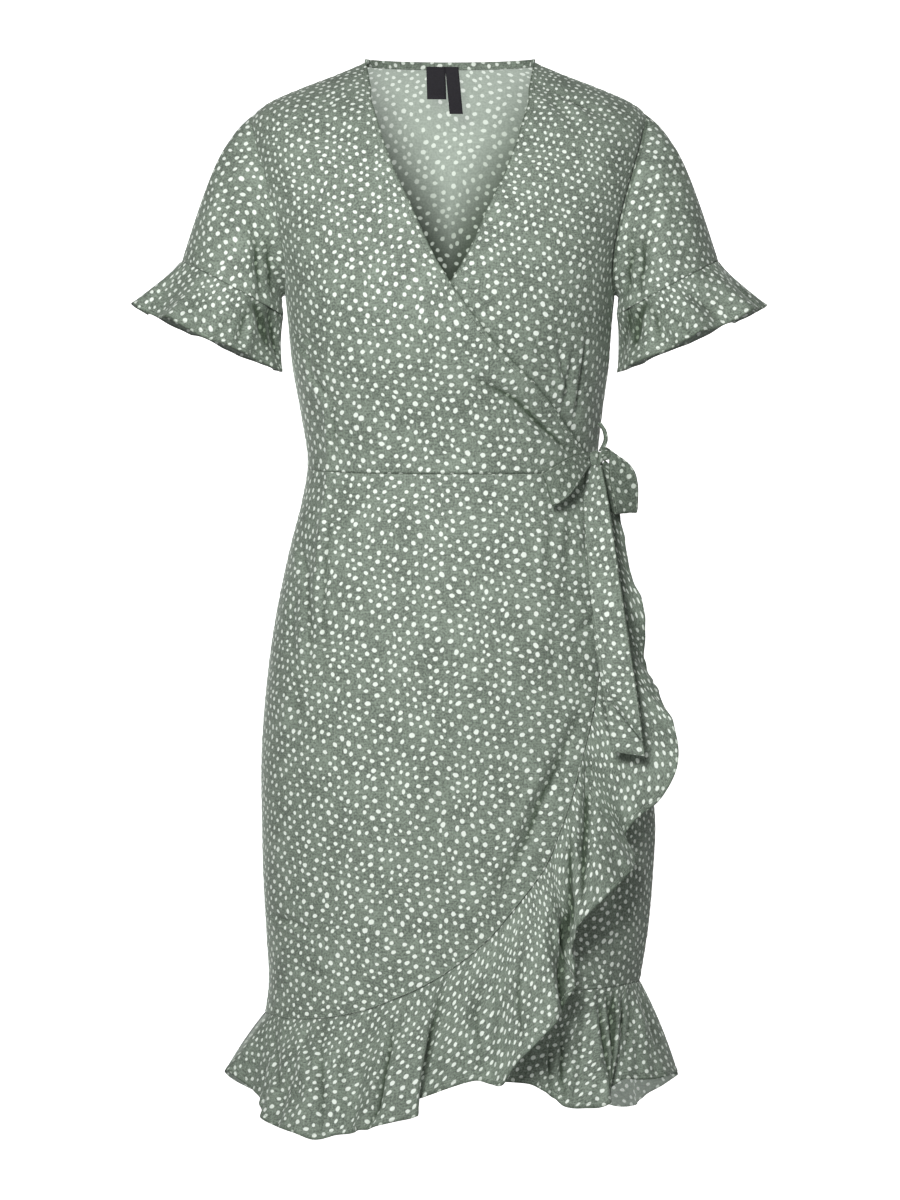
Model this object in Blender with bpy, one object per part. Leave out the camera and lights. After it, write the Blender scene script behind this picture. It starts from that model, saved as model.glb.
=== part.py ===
"""A knee-length wrap dress with flounced sleeves, a curved ruffle and a side bow, filled out as if worn.

The origin is midway between the two points where the shoulder seams meet the neck. +Z is up, the front
faces -Y, and the wearer's left is +X. Sizes are in millimetres and turned into metres as a mesh is made.
A place on the dress is an angle round the body, 0 at the centre front and 90 at the wearer's left side,
with a drop, the distance down from the shoulders.
"""

import math

import bmesh
import bpy
import numpy as np

MM = 0.001
WALL = 1.2  # thickness of the cloth
SEAM_GAP = 0.3  # between two pieces at a seam
RUFFLE_GAP = 0.45  # between a panel's curved edge and the ruffle on it
MERGE = 0.002  # points this close are one, where a row of a panel closes to a point
LAYER = 3.4  # how far the underneath front lies inside the top one
LAYER_FADE = 16.0  # degrees from a side seam over which it sinks to that depth
SHOULDER_FADE = 0.16  # share of its height, down from the shoulder, over which it does

WAIST_SIDE = 372.0  # drop of the waist seam at the sides
WAIST_DIP = 9.0  # how much lower it is at the centre front
WAIST_CURVE = 0.7  # below 1, the waist seam is fuller round the front than a cosine
HEM_SEAM_RIGHT = 874.0  # drop of the ruffle seam at the wearer's right side
HEM_SEAM_BACK = 848.0
HEM_SEAM_LEFT = 845.0
UNDER_HEM_DIP = 5.0  # how much lower the underneath skirt's ruffle seam is away from the side
UNDER_HEM_REACH = 60.0  # degrees from the side over which it dips
BACK_HEM_RISE_RIGHT = 70.0  # degrees from the right side seam over which the back's ruffle seam rises
BACK_HEM_RISE_LEFT = 60.0

SHOULDER_DROP = 47.0  # where the shoulder seam meets the armhole
UNDERARM_DROP = 215.0
ARMHOLE_FRONT = 22.0  # degrees that the armhole reaches forward of the side
ARMHOLE_BACK = 26.0
ARMHOLE_STEPS = 11  # points down each half of an armhole
SIDE_STEPS = 7  # points down a bodice side seam
ROW_FADE = 2.5  # power by which a panel's end rows fade into the rows between
MM_PER_DEGREE = 2.3  # about how long a degree is round the body, for the reach of a fold
FOLD_END_SHARE = 0.35  # share of a fold's height that is left at its two ends

# How many points each piece has across and down.
BODICE_COLUMNS = 13
SHOULDER_STEPS = 5
NECK_STEPS = 10
BINDING_STEPS = 14
SLEEVE_ROWS = 8
FLOUNCE_ROWS = 4
POINTS_PER_FLOUNCE_WAVE = 7
SKIRT_OVER_SIZE = (13, 27)
SKIRT_UNDER_SIZE = (12, 11)
SKIRT_BACK_SIZE = (24, 13)
RUFFLE_STEPS = 4
POINTS_PER_ROW = 3  # along a ruffle's free edge or a ribbon, for each row of its table
POINTS_PER_BACK_WAVE = 8

BACK_NECK_DROP = 2.0
BINDING_HEIGHT = 6.0
BINDING_END_HEIGHT = 0.45  # share of that height at the shoulder seams
BACK_NECK_RISE = 18.0  # degrees over which the back neckline comes up to the shoulder seam

CUFF_CENTRE = (200.0, 0.0, 208.0)  # across, back, drop
CUFF_TILT = 28.0  # degrees that the sleeve's lower end leans out
CUFF_RADIUS = 53.0
CUFF_HALF_DEPTH = 56.0
SLEEVE_GAP = 0.45  # between a sleeve and its armhole, which curves round
SLEEVE_LEAN = 18.0  # degrees that the sleeve's outer line leans out
SLEEVE_SET_OUT = 0.27  # share of its length that the cap runs straight out of the armhole
CAP_SET_OUT = 0.02  # how much more it is at the top of the cap
SLEEVE_START = (1, 0.6, 0.3)  # how much of the body's normal, across, back and up, the sleeve starts along
CAP_RISE = -0.8  # how much that start turns up at the top of the cap: below 0, the cap falls from the shoulder
CAP_FULLNESS = 1.6  # how far the cap stands proud of the armhole
CUFF_PULL = 0.42  # share of its length over which the sleeve straightens to the cuff
SLEEVE_ROW_POWER = 1.15  # above 1, rows lie closer together at the armhole
FLOUNCE_DEPTH = 60.0
FLOUNCE_SHORTER = 0.13  # share that it is shorter under the arm
FLOUNCE_FLARE = 15.0  # degrees
FLOUNCE_SWING = 12.0  # degrees more and less, wave by wave
FLOUNCE_WAVES = 7
FLOUNCE_INNER_FLARE = 10.0  # degrees more under the arm
FLOUNCE_INNER_CALM = 0.7  # share by which its waves are lower under the arm
FLOUNCE_OUTER_CALM = 0.4  # share by which they are lower along the outer line
FLOUNCE_WAVE_DEPTH = 0.04  # share by which a wave's crest is longer
FLOUNCE_CURVE = 0.15  # power by which the flare opens from the seam: near 0, all at once

GREEN = (0.19, 0.25, 0.17)
BLACK = (0.012, 0.012, 0.013)

# Level sections of the dress under its ruffles: half width, depth of the front and of the back from the
# side seams, how far the middle stands to the wearer's left, and how square the section is.
SECTION_COLUMNS = ("drop", "half_width", "front", "back", "middle", "square")
SECTIONS = (
    (0, 77, 12, 50, 0, 0.00),
    (12, 105, 28, 62, 0, 0.02),
    (24, 136, 42, 72, 0, 0.05),
    (38, 167, 56, 82, 0, 0.10),
    (50, 181, 66, 89, 0, 0.14),
    (70, 183, 78, 96, 0, 0.18),
    (100, 178, 91, 102, 0, 0.20),
    (135, 169, 102, 104, 0, 0.20),
    (170, 160, 111, 102, 0, 0.17),
    (205, 153, 118, 99, 0, 0.14),
    (240, 149, 120, 96, 0, 0.12),
    (280, 145.5, 113, 91, 0.5, 0.10),
    (325, 138.5, 99, 84, 1.5, 0.09),
    (372, 134, 90, 79, 3, 0.08),
    (405, 141, 92, 87, 4.5, 0.08),
    (440, 150, 98, 100, 4.5, 0.08),
    (480, 158.5, 104, 113, 4, 0.08),
    (520, 166, 108, 121, 4, 0.08),
    (570, 172.5, 111, 125, 4, 0.08),
    (640, 178, 110, 122, 4.5, 0.08),
    (700, 181, 108, 118, 8, 0.08),
    (745, 179.5, 107, 114, 7.5, 0.08),
    (800, 175.5, 106, 110, 6.5, 0.08),
    (850, 170.5, 105, 107, 3.5, 0.08),
    (890, 171, 104, 105, -2, 0.08),
)

# The largest soft folds in the cloth: two ends, then half the width and the height, below 0 for a trough.
FOLD_COLUMNS = ("angle_1", "drop_1", "angle_2", "drop_2", "reach", "height")
FOLDS = (
    (-53, 300, -54, 372, 11, 2.4),
    (-54, 372, -47, 500, 13, 2.6),
    (-60, 430, -64, 560, 12, -2.4),
    (44, 580, 20, 735, 19, -2.8),
    (50, 540, 33, 700, 17, 1.8),
    (64, 265, 50, 350, 15, -2.0),
    (20, 295, 66, 352, 15, -2.2),
    (10, 262, 64, 335, 15, 1.4),
    (-30, 640, -34, 860, 20, 2.2),
    (150, 300, 146, 372, 11, 2.2),
    (-150, 300, -146, 372, 11, 2.2),
    (150, 372, 146, 480, 13, 2.2),
    (-150, 372, -146, 480, 13, 2.2),
    (180, 330, 178, 372, 16, -2.0),
    (130, 600, 124, 850, 20, 2.4),
    (-128, 620, -122, 860, 20, 2.4),
    (172, 640, 176, 850, 22, -2.2),
)

# The neckline and the wrap edge below it, on the wearer's right front: it starts at the neck and runs to
# the waist seam at the wearer's left. The other front has the same edge, mirrored.
WRAP_COLUMNS = ("across", "drop")
WRAP_EDGE = (
    (-77, 0),
    (-73, 22),
    (-70, 45),
    (-60, 79),
    (-49, 108),
    (-37, 133),
    (-25, 161),
    (-13, 186),
    (-1, 206),
    (22, 238),
    (45, 267),
    (68, 290),
    (91, 315),
    (109, 339),
    (124, 360),
    (131, 372.5),
)

# The ruffle seam of the top skirt: down the front edge from the waist, then along the hem.
SEAM_COLUMNS = ("across", "drop")
SEAM_EDGE = (
    (136.5, 374),
    (139.5, 415),
    (140, 460),
    (139.5, 500),
    (137.5, 540),
    (133.5, 577),
    (126, 617),
    (115, 662),
    (102, 701),
    (87, 737),
    (71, 759),
    (54, 780),
    (37, 800),
    (22, 813.5),
    (7, 825),
    (-9, 836),
    (-27, 846),
    (-52, 857),
    (-75, 866),
    (-100, 872),
    (-125, 875.5),
    (-150, 876),
    (-165, 874),
)

# The ruffles' free edges at the two side seams: across, back and drop.
HEM_SIDE_RIGHT = (-206, -3, 927)
HEM_SIDE_LEFT = (209, -8, 928)
SWELL = 0.12  # how far a ruffle bows out, as a share of how far its edge stands off the body
SWELL_LIMIT = 50.0
BOW_PLACE = 0.42  # share of the way down a ruffle where it bows out most

# The free edge of the ruffle on the top skirt, wave by wave from the waist to the right side seam. "along"
# is the place on the ruffle seam, from 0 to 1, that each point hangs from.
CASCADE_START = 0.012  # share of the seam left free, so that the ruffle is clear of the waist seam
SEAM_POINTS = 241  # places worked out along the seam before the ruffle's own are read from them
CASCADE_COLUMNS = ("along", "across", "back", "drop")
CASCADE = (
    (0.000, 151, -28, 398),
    (0.040, 159, -36, 436),
    (0.080, 166, -46, 474),
    (0.115, 177, -52, 502),
    (0.145, 178, -50, 526),
    (0.170, 178, -34, 550),
    (0.190, 184, -40, 566),
    (0.215, 190, -74, 581),
    (0.250, 202, -88, 606),
    (0.280, 207, -92, 630),
    (0.305, 204, -94, 652),
    (0.328, 190, -98, 676),
    (0.346, 174, -95, 689),
    (0.361, 164, -88, 699),
    (0.375, 160, -76, 710),
    (0.389, 165, -70, 722),
    (0.403, 169, -78, 733),
    (0.420, 161, -97, 744),
    (0.450, 140, -121, 763),
    (0.474, 119, -129, 784),
    (0.490, 112, -125, 795),
    (0.505, 110, -114, 806),
    (0.520, 112, -104, 819),
    (0.535, 114, -106, 834),
    (0.550, 110, -120, 851),
    (0.567, 98, -136, 872),
    (0.585, 76, -145, 895),
    (0.610, 56, -146, 916),
    (0.628, 47, -142, 931),
    (0.642, 37, -131, 931),
    (0.660, 22, -130, 928),
    (0.685, -4, -137, 935),
    (0.703, -20, -131, 941),
    (0.716, -31, -127, 946),
    (0.726, -36, -133, 951),
    (0.738, -30, -143, 955),
    (0.752, -32, -153, 959),
    (0.780, -56, -158, 964),
    (0.805, -76, -152, 969),
    (0.825, -88, -138, 974),
    (0.848, -102, -132, 976),
    (0.870, -121, -136, 977),
    (0.893, -143, -126, 974),
    (0.915, -157, -104, 971),
    (0.933, -171, -84, 965),
    (0.953, -172, -66, 957),
    (0.970, -175, -46, 948),
    (0.986, -185, -25, 940),
    (1.000, *HEM_SIDE_RIGHT),
)

# The free edge of the ruffle under the top skirt, from the left side seam to its inner end.
UNDER_COLUMNS = ("along", "across", "back", "drop")
UNDER_EDGE = (
    (0.00, *HEM_SIDE_LEFT),
    (0.06, 204, -44, 931),
    (0.12, 182, -68, 941),
    (0.18, 158, -74, 949),
    (0.24, 140, -92, 953),
    (0.30, 120, -104, 954),
    (0.36, 104, -104, 953),
    (0.42, 94, -98, 946),
    (0.50, 73, -108, 934),
    (0.60, 43, -120, 932),
    (0.70, 14, -117, 935),
    (0.80, -14, -114, 937),
    (0.90, -39, -104, 940),
    (1.00, -67, -97, 943),
)
UNDER_INNER_ANGLE = -26.0  # where the underneath skirt ends inside the top one

BACK_RUFFLE_WAVES = 8
BACK_RUFFLE_DEPTH = 92.0
BACK_RUFFLE_HOLD = 0.15  # share of its length over which each end comes to the side seam's hem
BACK_RUFFLE_FLARE = 17.0  # degrees
BACK_RUFFLE_SWING = 13.0  # degrees more and less, wave by wave
BACK_RUFFLE_DRIFT = (0.8, 5.0)  # how far, in radians, and how fast its waves drift from even spacing

# Ribbons of the tie: the middle of the band, then half its width as a direction and a length.
RIBBON_THICKNESS = 1.0
BAND_COLUMNS = ("across", "back", "drop", "half_across", "half_back", "half_drop")
KNOT_CENTRE = (133.0, -40.0, 366.0)
KNOT_HALF_SIZE = (6.5, 6.0, 8.0)
LOOP_FRONT = (
    (126.2, -44.5, 364, 0.5, 0, 5),
    (114, -69, 369, 2, -1, 9),
    (99, -83, 380, 3.5, -1, 12.5),
    (88, -89, 389, 4, 0, 14.5),
    (86.5, -84.5, 391, 4, 0, 14.8),
    (91, -80.5, 388, 4, 0, 13.5),
    (104, -72, 380, 3, 0, 10),
    (117, -58.5, 371, 1.5, 0, 6),
    (126.2, -41, 366, 0.5, 0, 4),
)
LOOP_SIDE = (
    (139.9, -42, 361.5, 0, 0, 4.5),
    (149, -50, 361, 3, 2, 7),
    (156, -54, 369, 8, 4, 6),
    (160, -55, 386, 11, 7, 2),
    (161, -53, 404, 11, 8, 0),
    (160.5, -48, 415, 10.5, 8, -1),
    (158.5, -43, 411, 10, 8, 0),
    (155, -38, 396, 8.5, 7, 1),
    (149, -35, 381, 5, 4, -2),
    (140.2, -38.5, 370, 3, 0, -2.6),
)
TAIL_LOWER = (
    (133, -40.5, 374.6, 4, 1, 0),
    (133.5, -53, 400, 9, 3, 0),
    (136, -66, 440, 13, 4, 1),
    (141, -71, 490, 14.5, 4, 2),
    (147, -84, 540, 15, 3, 3),
    (155, -101, 590, 15, 2, 3),
    (161.5, -112, 634, 15, 1, 2),
)
TAIL_UPPER = (
    (133.5, -43.5, 373.4, 4, 0, 0),
    (136, -58.5, 402, 8, 2, 0),
    (139, -72.5, 442, 12.5, 3, 1),
    (144, -77.5, 490, 14.5, 3, 2),
    (150, -90.5, 540, 15, 2, 3),
    (157, -107, 586, 14, 1, 9),
    (161, -115, 606, 13, 0, 17),
)
STRAP = (
    (136.6, -24.0, 333, 0.5, 1.8, 0),
    (141, -30, 340, 0.6, 1.7, 0.2),
    (142, -36, 349, 0.8, 1.6, 0.3),
    (137.5, -39.8, 359.0, 1, 1.4, 0),
)

# Labels that hang from the back neck binding: left and right edge, drop of the top and of the bottom, and
# how far the lower end swings across and stands back.
LABEL_COLUMNS = ("name", "left", "right", "top", "bottom", "swing", "lean")
LABELS = (
    ("care_label", -22, -4.2, 0.5, 34, 0, 3),
    ("neck_label", -3.6, 8.6, 0.5, 47, 2.5, 4),
)
LABEL_GAP = 0.5  # between a label and the curved binding that it hangs from
LABEL_THICKNESS = 1.0
BINDING_THICKNESS = 1.8
BINDING_PROUD = 0.3
BINDING_END = 0.03  # share of the neckline at each end that the shoulder seams take


def smooth(keys, values, at):
    """The value at one key of a table, on a smooth curve through its rows."""
    keys = np.asarray(keys, float)
    values = np.asarray(values, float)
    slopes = np.gradient(values, keys, axis=0)
    at = min(max(at, keys[0]), keys[-1])
    row = int(np.clip(np.searchsorted(keys, at) - 1, 0, len(keys) - 2))
    step = keys[row + 1] - keys[row]
    t = (at - keys[row]) / step
    start = (2 * t**3 - 3 * t**2 + 1) * values[row] + (t**3 - 2 * t**2 + t) * step * slopes[row]
    end = (3 * t**2 - 2 * t**3) * values[row + 1] + (t**3 - t**2) * step * slopes[row + 1]
    return start + end


def ease(t):
    """0 to 1, level at both ends."""
    t = min(max(t, 0.0), 1.0)
    return t * t * (3 - 2 * t)


def section(drop):
    rows = np.asarray(SECTIONS, float)
    return smooth(rows[:, 0], rows[:, 1:], drop)


def bare_body(angle, drop):
    half_width, front, back, middle, square = section(drop)
    s = math.sin(math.radians(angle))
    c = math.cos(math.radians(angle))
    depth = front if c > 0 else back
    return np.array([
        middle + half_width * s * (1 + square * c * c),
        -depth * c * (1 + square * s * s),
        -drop,
    ])


def normal_at(angle, drop):
    across = bare_body(angle + 0.6, drop) - bare_body(angle - 0.6, drop)
    down = bare_body(angle, min(drop + 1.5, SECTIONS[-1][0])) - bare_body(angle, max(drop - 1.5, 0))
    normal = np.cross(down, across)
    return normal / np.linalg.norm(normal)


def fold_height(angle, drop):
    """How far the soft folds lift the cloth at one place."""
    angle = (angle + 180) % 360 - 180
    height = 0.0
    for angle_1, drop_1, angle_2, drop_2, reach, rise in FOLDS:
        start = np.array([angle_1 * MM_PER_DEGREE, drop_1])
        run = np.array([(angle_2 - angle_1) * MM_PER_DEGREE, drop_2 - drop_1])
        turned = (angle - angle_1 + 180) % 360 - 180 + angle_1
        place = np.array([turned * MM_PER_DEGREE, drop])
        share = min(max(np.dot(place - start, run) / np.dot(run, run), 0), 1)
        away = np.linalg.norm(place - start - share * run)
        along = FOLD_END_SHARE + (1 - FOLD_END_SHARE) * math.sin(math.pi * share)
        height += rise * math.exp(-((away / reach) ** 2)) * along
    return height


def cloth(angle, drop, out=0.0):
    """A point of the dress's outer face, or one that lies further out along its normal."""
    return bare_body(angle, drop) + (fold_height(angle, drop) + out) * normal_at(angle, drop)


def angle_of(across, drop):
    """The angle on the front where the section at this drop has this width."""
    half_width, _, _, middle, square = section(drop)
    share = min(max((across - middle) / half_width, -1.0), 1.0)
    s = share
    for _ in range(12):
        s = share / (1 + square * (1 - s * s))
    return math.degrees(math.asin(min(max(s, -1.0), 1.0)))


def side_angle(drop, side, front):
    """The side seam or shoulder seam, half a seam gap to the front or to the back of the side."""
    _, front_depth, back_depth, _, square = section(drop)
    depth = (front_depth if front else back_depth) * (1 + square)
    gap = math.degrees(SEAM_GAP / 2 / depth)
    return side * (90 - gap if front else 90 + gap)


def waist_drop(angle):
    return WAIST_SIDE + WAIST_DIP * max(0.0, math.cos(math.radians(angle))) ** WAIST_CURVE


def along_curve(places, count):
    """Places (angle, drop) spread evenly by length on the cloth through a list of them."""
    points = np.array([bare_body(*place) for place in places])
    lengths = np.concatenate([[0], np.cumsum(np.linalg.norm(np.diff(points, axis=0), axis=1))])
    wanted = np.linspace(0, lengths[-1], count)
    places = np.asarray(places, float)
    return [tuple(smooth(lengths, places, length)) for length in wanted]


def filled(first_row, last_row, left, right):
    """A grid of places (angle, drop) that fills four borders. The shape of the first and last rows fades
    out within a few rows, so that the rows between follow the two side borders."""
    first_row, last_row, left, right = (np.asarray(b, float) for b in (first_row, last_row, left, right))
    rows, columns = len(left), len(first_row)
    u = np.linspace(0, 1, columns)[:, None]
    grid = np.zeros((rows, columns, 2))
    for i, v in enumerate(np.linspace(0, 1, rows)):
        first = first_row - (1 - u) * first_row[0] - u * first_row[-1]
        last = last_row - (1 - u) * last_row[0] - u * last_row[-1]
        across = (1 - u) * left[i] + u * right[i]
        grid[i] = across + (1 - v) ** ROW_FADE * first + v**ROW_FADE * last
    return grid


def unit(vectors):
    return vectors / np.linalg.norm(vectors, axis=-1, keepdims=True)


def grid_normals(points, ring=False):
    """Normals of a grid of points whose first axis runs down and whose second runs round."""
    down = np.gradient(points, axis=0)
    if ring:
        across = np.roll(points, -1, axis=1) - np.roll(points, 1, axis=1)
    else:
        across = np.gradient(points, axis=1)
    return unit(np.cross(down, across))


def new_object(name, mesh_maker, colour, roughness=0.8):
    mesh = bpy.data.meshes.new(name)
    bm = bmesh.new()
    mesh_maker(bm)
    if bm.calc_volume(signed=True) < 0:
        bmesh.ops.reverse_faces(bm, faces=bm.faces)
    bm.to_mesh(mesh)
    bm.free()
    mesh.shade_smooth()
    mesh.set_sharp_from_angle(angle=math.radians(50))
    material = bpy.data.materials.new(name)
    material.use_nodes = True
    shader = material.node_tree.nodes["Principled BSDF"]
    shader.inputs["Base Color"].default_value = (*colour, 1)
    shader.inputs["Roughness"].default_value = roughness
    mesh.materials.append(material)
    obj = bpy.data.objects.new(name, mesh)
    bpy.context.scene.collection.objects.link(obj)
    return obj


def wall(name, outer, inner, ring=False, colour=GREEN):
    """One closed wall between two equal grids of points, joined round its edges."""
    rows, columns = outer.shape[:2]

    def make(bm):
        outside = [[bm.verts.new(p * MM) for p in row] for row in outer]
        inside = [[bm.verts.new(p * MM) for p in row] for row in inner]

        def quad(a, b, c, d):
            bm.faces.new((a, b, c))
            bm.faces.new((a, c, d))

        last = columns if ring else columns - 1
        for i in range(rows - 1):
            for j in range(last):
                k = (j + 1) % columns
                quad(outside[i][j], outside[i][k], outside[i + 1][k], outside[i + 1][j])
                bm.faces.new((inside[i][j], inside[i + 1][k], inside[i][k]))
                bm.faces.new((inside[i][j], inside[i + 1][j], inside[i + 1][k]))
        for j in range(last):
            k = (j + 1) % columns
            quad(outside[0][j], inside[0][j], inside[0][k], outside[0][k])
            quad(outside[-1][j], outside[-1][k], inside[-1][k], inside[-1][j])
        if not ring:
            for i in range(rows - 1):
                quad(outside[i][0], outside[i + 1][0], inside[i + 1][0], inside[i][0])
                quad(outside[i][-1], inside[i][-1], inside[i + 1][-1], outside[i + 1][-1])
        bmesh.ops.remove_doubles(bm, verts=bm.verts, dist=MERGE * MM)

    return new_object(name, make, colour)


def panel(name, grid, sunk=None):
    """A piece that lies on the dress's own shape, or as far inside it as sunk says at each place."""
    if sunk is None:
        sunk = np.zeros(grid.shape[:2])
    outer = np.zeros(grid.shape[:2] + (3,))
    inner = np.zeros_like(outer)
    for i, row in enumerate(grid):
        for j, (angle, drop) in enumerate(row):
            outer[i, j] = cloth(angle, drop, -sunk[i, j])
            inner[i, j] = cloth(angle, drop, -sunk[i, j] - WALL)
    return wall(name, outer, inner)


def armhole(side, turn):
    """A place on the armhole seam: turn 0 at the shoulder, 90 at the front, 180 under the arm, 270 behind."""
    reach = ARMHOLE_FRONT if turn <= 180 else ARMHOLE_BACK
    angle = 90 - reach * math.sin(math.radians(turn))
    middle = (SHOULDER_DROP + UNDERARM_DROP) / 2
    half = (UNDERARM_DROP - SHOULDER_DROP) / 2
    return side * angle, middle - half * math.cos(math.radians(turn))


def armhole_turns():
    return np.linspace(0, 180, ARMHOLE_STEPS + 1)


def side_border(side, front):
    """Up the side seam and the armhole, from the waist to the shoulder."""
    drops = np.linspace(WAIST_SIDE - SEAM_GAP / 2, UNDERARM_DROP, SIDE_STEPS + 1)
    places = [(side_angle(drop, side, front), drop) for drop in drops]
    for turn in armhole_turns()[::-1][1:]:
        angle, drop = armhole(side, turn if front else 360 - turn)
        if turn == 0:
            angle = side_angle(drop, side, front)
        places.append((angle, drop))
    return places


def wrap_places(side):
    """The wrap edge from the waist seam up to the neck."""
    rows = [(-side * across, drop) for across, drop in WRAP_EDGE]
    return [(angle_of(across, drop), drop) for across, drop in reversed(rows)]


def front_bodice(name, side, underneath):
    """A front from its own side seam (side -1 is the wearer's right) across to its wrap edge. The front
    underneath sinks inside the top one away from the side seam, the waist seam and the shoulder."""
    left = side_border(side, True)
    right = along_curve(wrap_places(side), len(left))
    neck = (side_angle(0.0, side, True), 0.0)
    right[-1] = neck
    waist_angles = np.linspace(left[0][0], right[0][0], BODICE_COLUMNS)
    bottom = [(angle, waist_drop(angle) - SEAM_GAP / 2) for angle in waist_angles]
    right[0] = bottom[-1]
    left[0] = bottom[0]
    shoulder = np.linspace(SHOULDER_DROP, 0, BODICE_COLUMNS)
    top = [(side_angle(drop, side, True), drop) for drop in shoulder]
    grid = filled(bottom, top, left, right)
    sunk = np.zeros(grid.shape[:2])
    if underneath:
        for i, row in enumerate(grid):
            from_shoulder = 1 - i / (len(grid) - 1)
            for j, (angle, _) in enumerate(row):
                from_side = abs(left[i][0] - angle) / LAYER_FADE
                sunk[i, j] = LAYER * ease(from_side) * ease(from_shoulder / SHOULDER_FADE)
    return panel(name, grid, sunk)


def neck_place(share):
    """Across the back neck from the wearer's right (0) to the left (1)."""
    angle = -90 - 180 * share
    from_seam = min(abs(angle + 90), abs(angle + 270))
    return angle, BACK_NECK_DROP * min(1.0, from_seam / BACK_NECK_RISE)


def back_bodice():
    left = side_border(-1, False)
    right = [(-360 - angle, drop) for angle, drop in left]
    columns = 2 * SHOULDER_STEPS + NECK_STEPS + 1
    bottom = [
        (angle, WAIST_SIDE - SEAM_GAP / 2)
        for angle in np.linspace(left[0][0], right[0][0], columns)
    ]
    seam = []
    for j in range(SHOULDER_STEPS):
        drop = SHOULDER_DROP * (1 - j / SHOULDER_STEPS)
        seam.append((side_angle(drop, -1, False), drop))
    top = list(seam)
    for j in range(NECK_STEPS + 1):
        angle, drop = neck_place(j / NECK_STEPS)
        if j == 0:
            angle = side_angle(0.0, -1, False)
        if j == NECK_STEPS:
            angle = -360 - side_angle(0.0, -1, False)
        top.append((angle, drop))
    top += [(-360 - angle, drop) for angle, drop in reversed(seam)]
    return panel("bodice_back", filled(bottom, top, left, right))


def neck_binding():
    """A narrow folded band on the back neck, between the two shoulder seams."""
    outer = np.zeros((2, BINDING_STEPS + 1, 3))
    inner = np.zeros_like(outer)
    for j, share in enumerate(np.linspace(BINDING_END, 1 - BINDING_END, BINDING_STEPS + 1)):
        angle, low = neck_place(share)
        low -= SEAM_GAP
        from_end = BINDING_END_HEIGHT + (1 - BINDING_END_HEIGHT) * low / BACK_NECK_DROP
        high = low - BINDING_HEIGHT * from_end
        for i, drop in enumerate((high, low)):
            point = bare_body(angle, low)
            point[2] = -drop
            outward = normal_at(angle, low) * (1, 1, 0)
            outward /= np.linalg.norm(outward)
            outer[i, j] = point + BINDING_PROUD * outward
            inner[i, j] = point - (BINDING_THICKNESS - BINDING_PROUD) * outward
    return wall("neck_binding_back", outer, inner)


def binding_inside(across):
    """How far back the binding's inner face lies at one place across the neck."""
    drop = BACK_NECK_DROP - SEAM_GAP
    angle = -180 - angle_of(across, drop)
    outward = unit(normal_at(angle, drop) * (1, 1, 0))
    return bare_body(angle, drop)[1] - (BINDING_THICKNESS - BINDING_PROUD) * outward[1]


def labels():
    for name, left, right, top, bottom, swing, lean in LABELS:
        outer = np.zeros((3, 2, 3))
        for i, share in enumerate((0, 0.5, 1)):
            for j, across in enumerate((left, right)):
                back = binding_inside(across) - LABEL_GAP - LABEL_THICKNESS + lean * share**2
                drop = top + (bottom - top) * share
                outer[i, j] = (across + swing * share, back, -drop)
        wall(name, outer, outer + np.array([0, LABEL_THICKNESS, 0]), colour=BLACK)


def cuff_axes(side):
    """The middle of the cuff, its outward direction and the sleeve's own direction there."""
    tilt = math.radians(CUFF_TILT)
    centre = np.array([side * CUFF_CENTRE[0], CUFF_CENTRE[1], -CUFF_CENTRE[2]])
    outward = np.array([side * math.cos(tilt), 0, math.sin(tilt)])
    downward = np.array([side * math.sin(tilt), 0, -math.cos(tilt)])
    return centre, outward, downward


def cuff_point(side, turn):
    centre, outward, _ = cuff_axes(side)
    t = math.radians(turn)
    forward = np.array([0, -1.0, 0])
    return centre + CUFF_RADIUS * math.cos(t) * outward + CUFF_HALF_DEPTH * math.sin(t) * forward


def sleeve(name, side):
    turns = np.concatenate([armhole_turns(), 180 + armhole_turns()[1:-1]])
    rows = SLEEVE_ROWS
    points = np.zeros((rows + 1, len(turns), 3))
    inward = np.zeros((len(turns), 3))
    for j, turn in enumerate(turns):
        place = bare_body(*armhole(side, turn))
        ahead = bare_body(*armhole(side, turn + 1)) - bare_body(*armhole(side, turn - 1))
        normal = normal_at(*armhole(side, turn))
        inward[j] = unit(np.cross(normal, ahead)) * side
        start = place + SLEEVE_GAP * inward[j] - WALL * normal
        end = cuff_point(side, turn)
        reach = np.linalg.norm(end - start)
        inner = (1 - math.cos(math.radians(turn))) / 2
        lift = np.array([0, 0, CAP_RISE]) * max(0, math.cos(math.radians(turn)))
        push = (SLEEVE_SET_OUT + CAP_SET_OUT * (1 - inner)) * reach
        leave = start + push * unit(normal * SLEEVE_START + lift) + CAP_FULLNESS * normal
        lean = math.radians(SLEEVE_LEAN * (1 - inner))
        arrive = end - CUFF_PULL * reach * np.array([side * math.sin(lean), 0, -math.cos(lean)])
        for i in range(rows + 1):
            t = (i / rows) ** SLEEVE_ROW_POWER
            points[i, j] = (
                (1 - t) ** 3 * start
                + 3 * t * (1 - t) ** 2 * leave
                + 3 * t * t * (1 - t) * arrive
                + t**3 * end
            )
    normals = grid_normals(points, ring=True)
    if np.dot(normals[rows // 2, 0], cuff_axes(side)[1]) < 0:
        normals = -normals
    normals[0] = -inward
    centre = cuff_axes(side)[0]
    normals[-1] = unit(points[-1] - centre)
    return wall(name, points, points - WALL * normals, ring=True)


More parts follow.
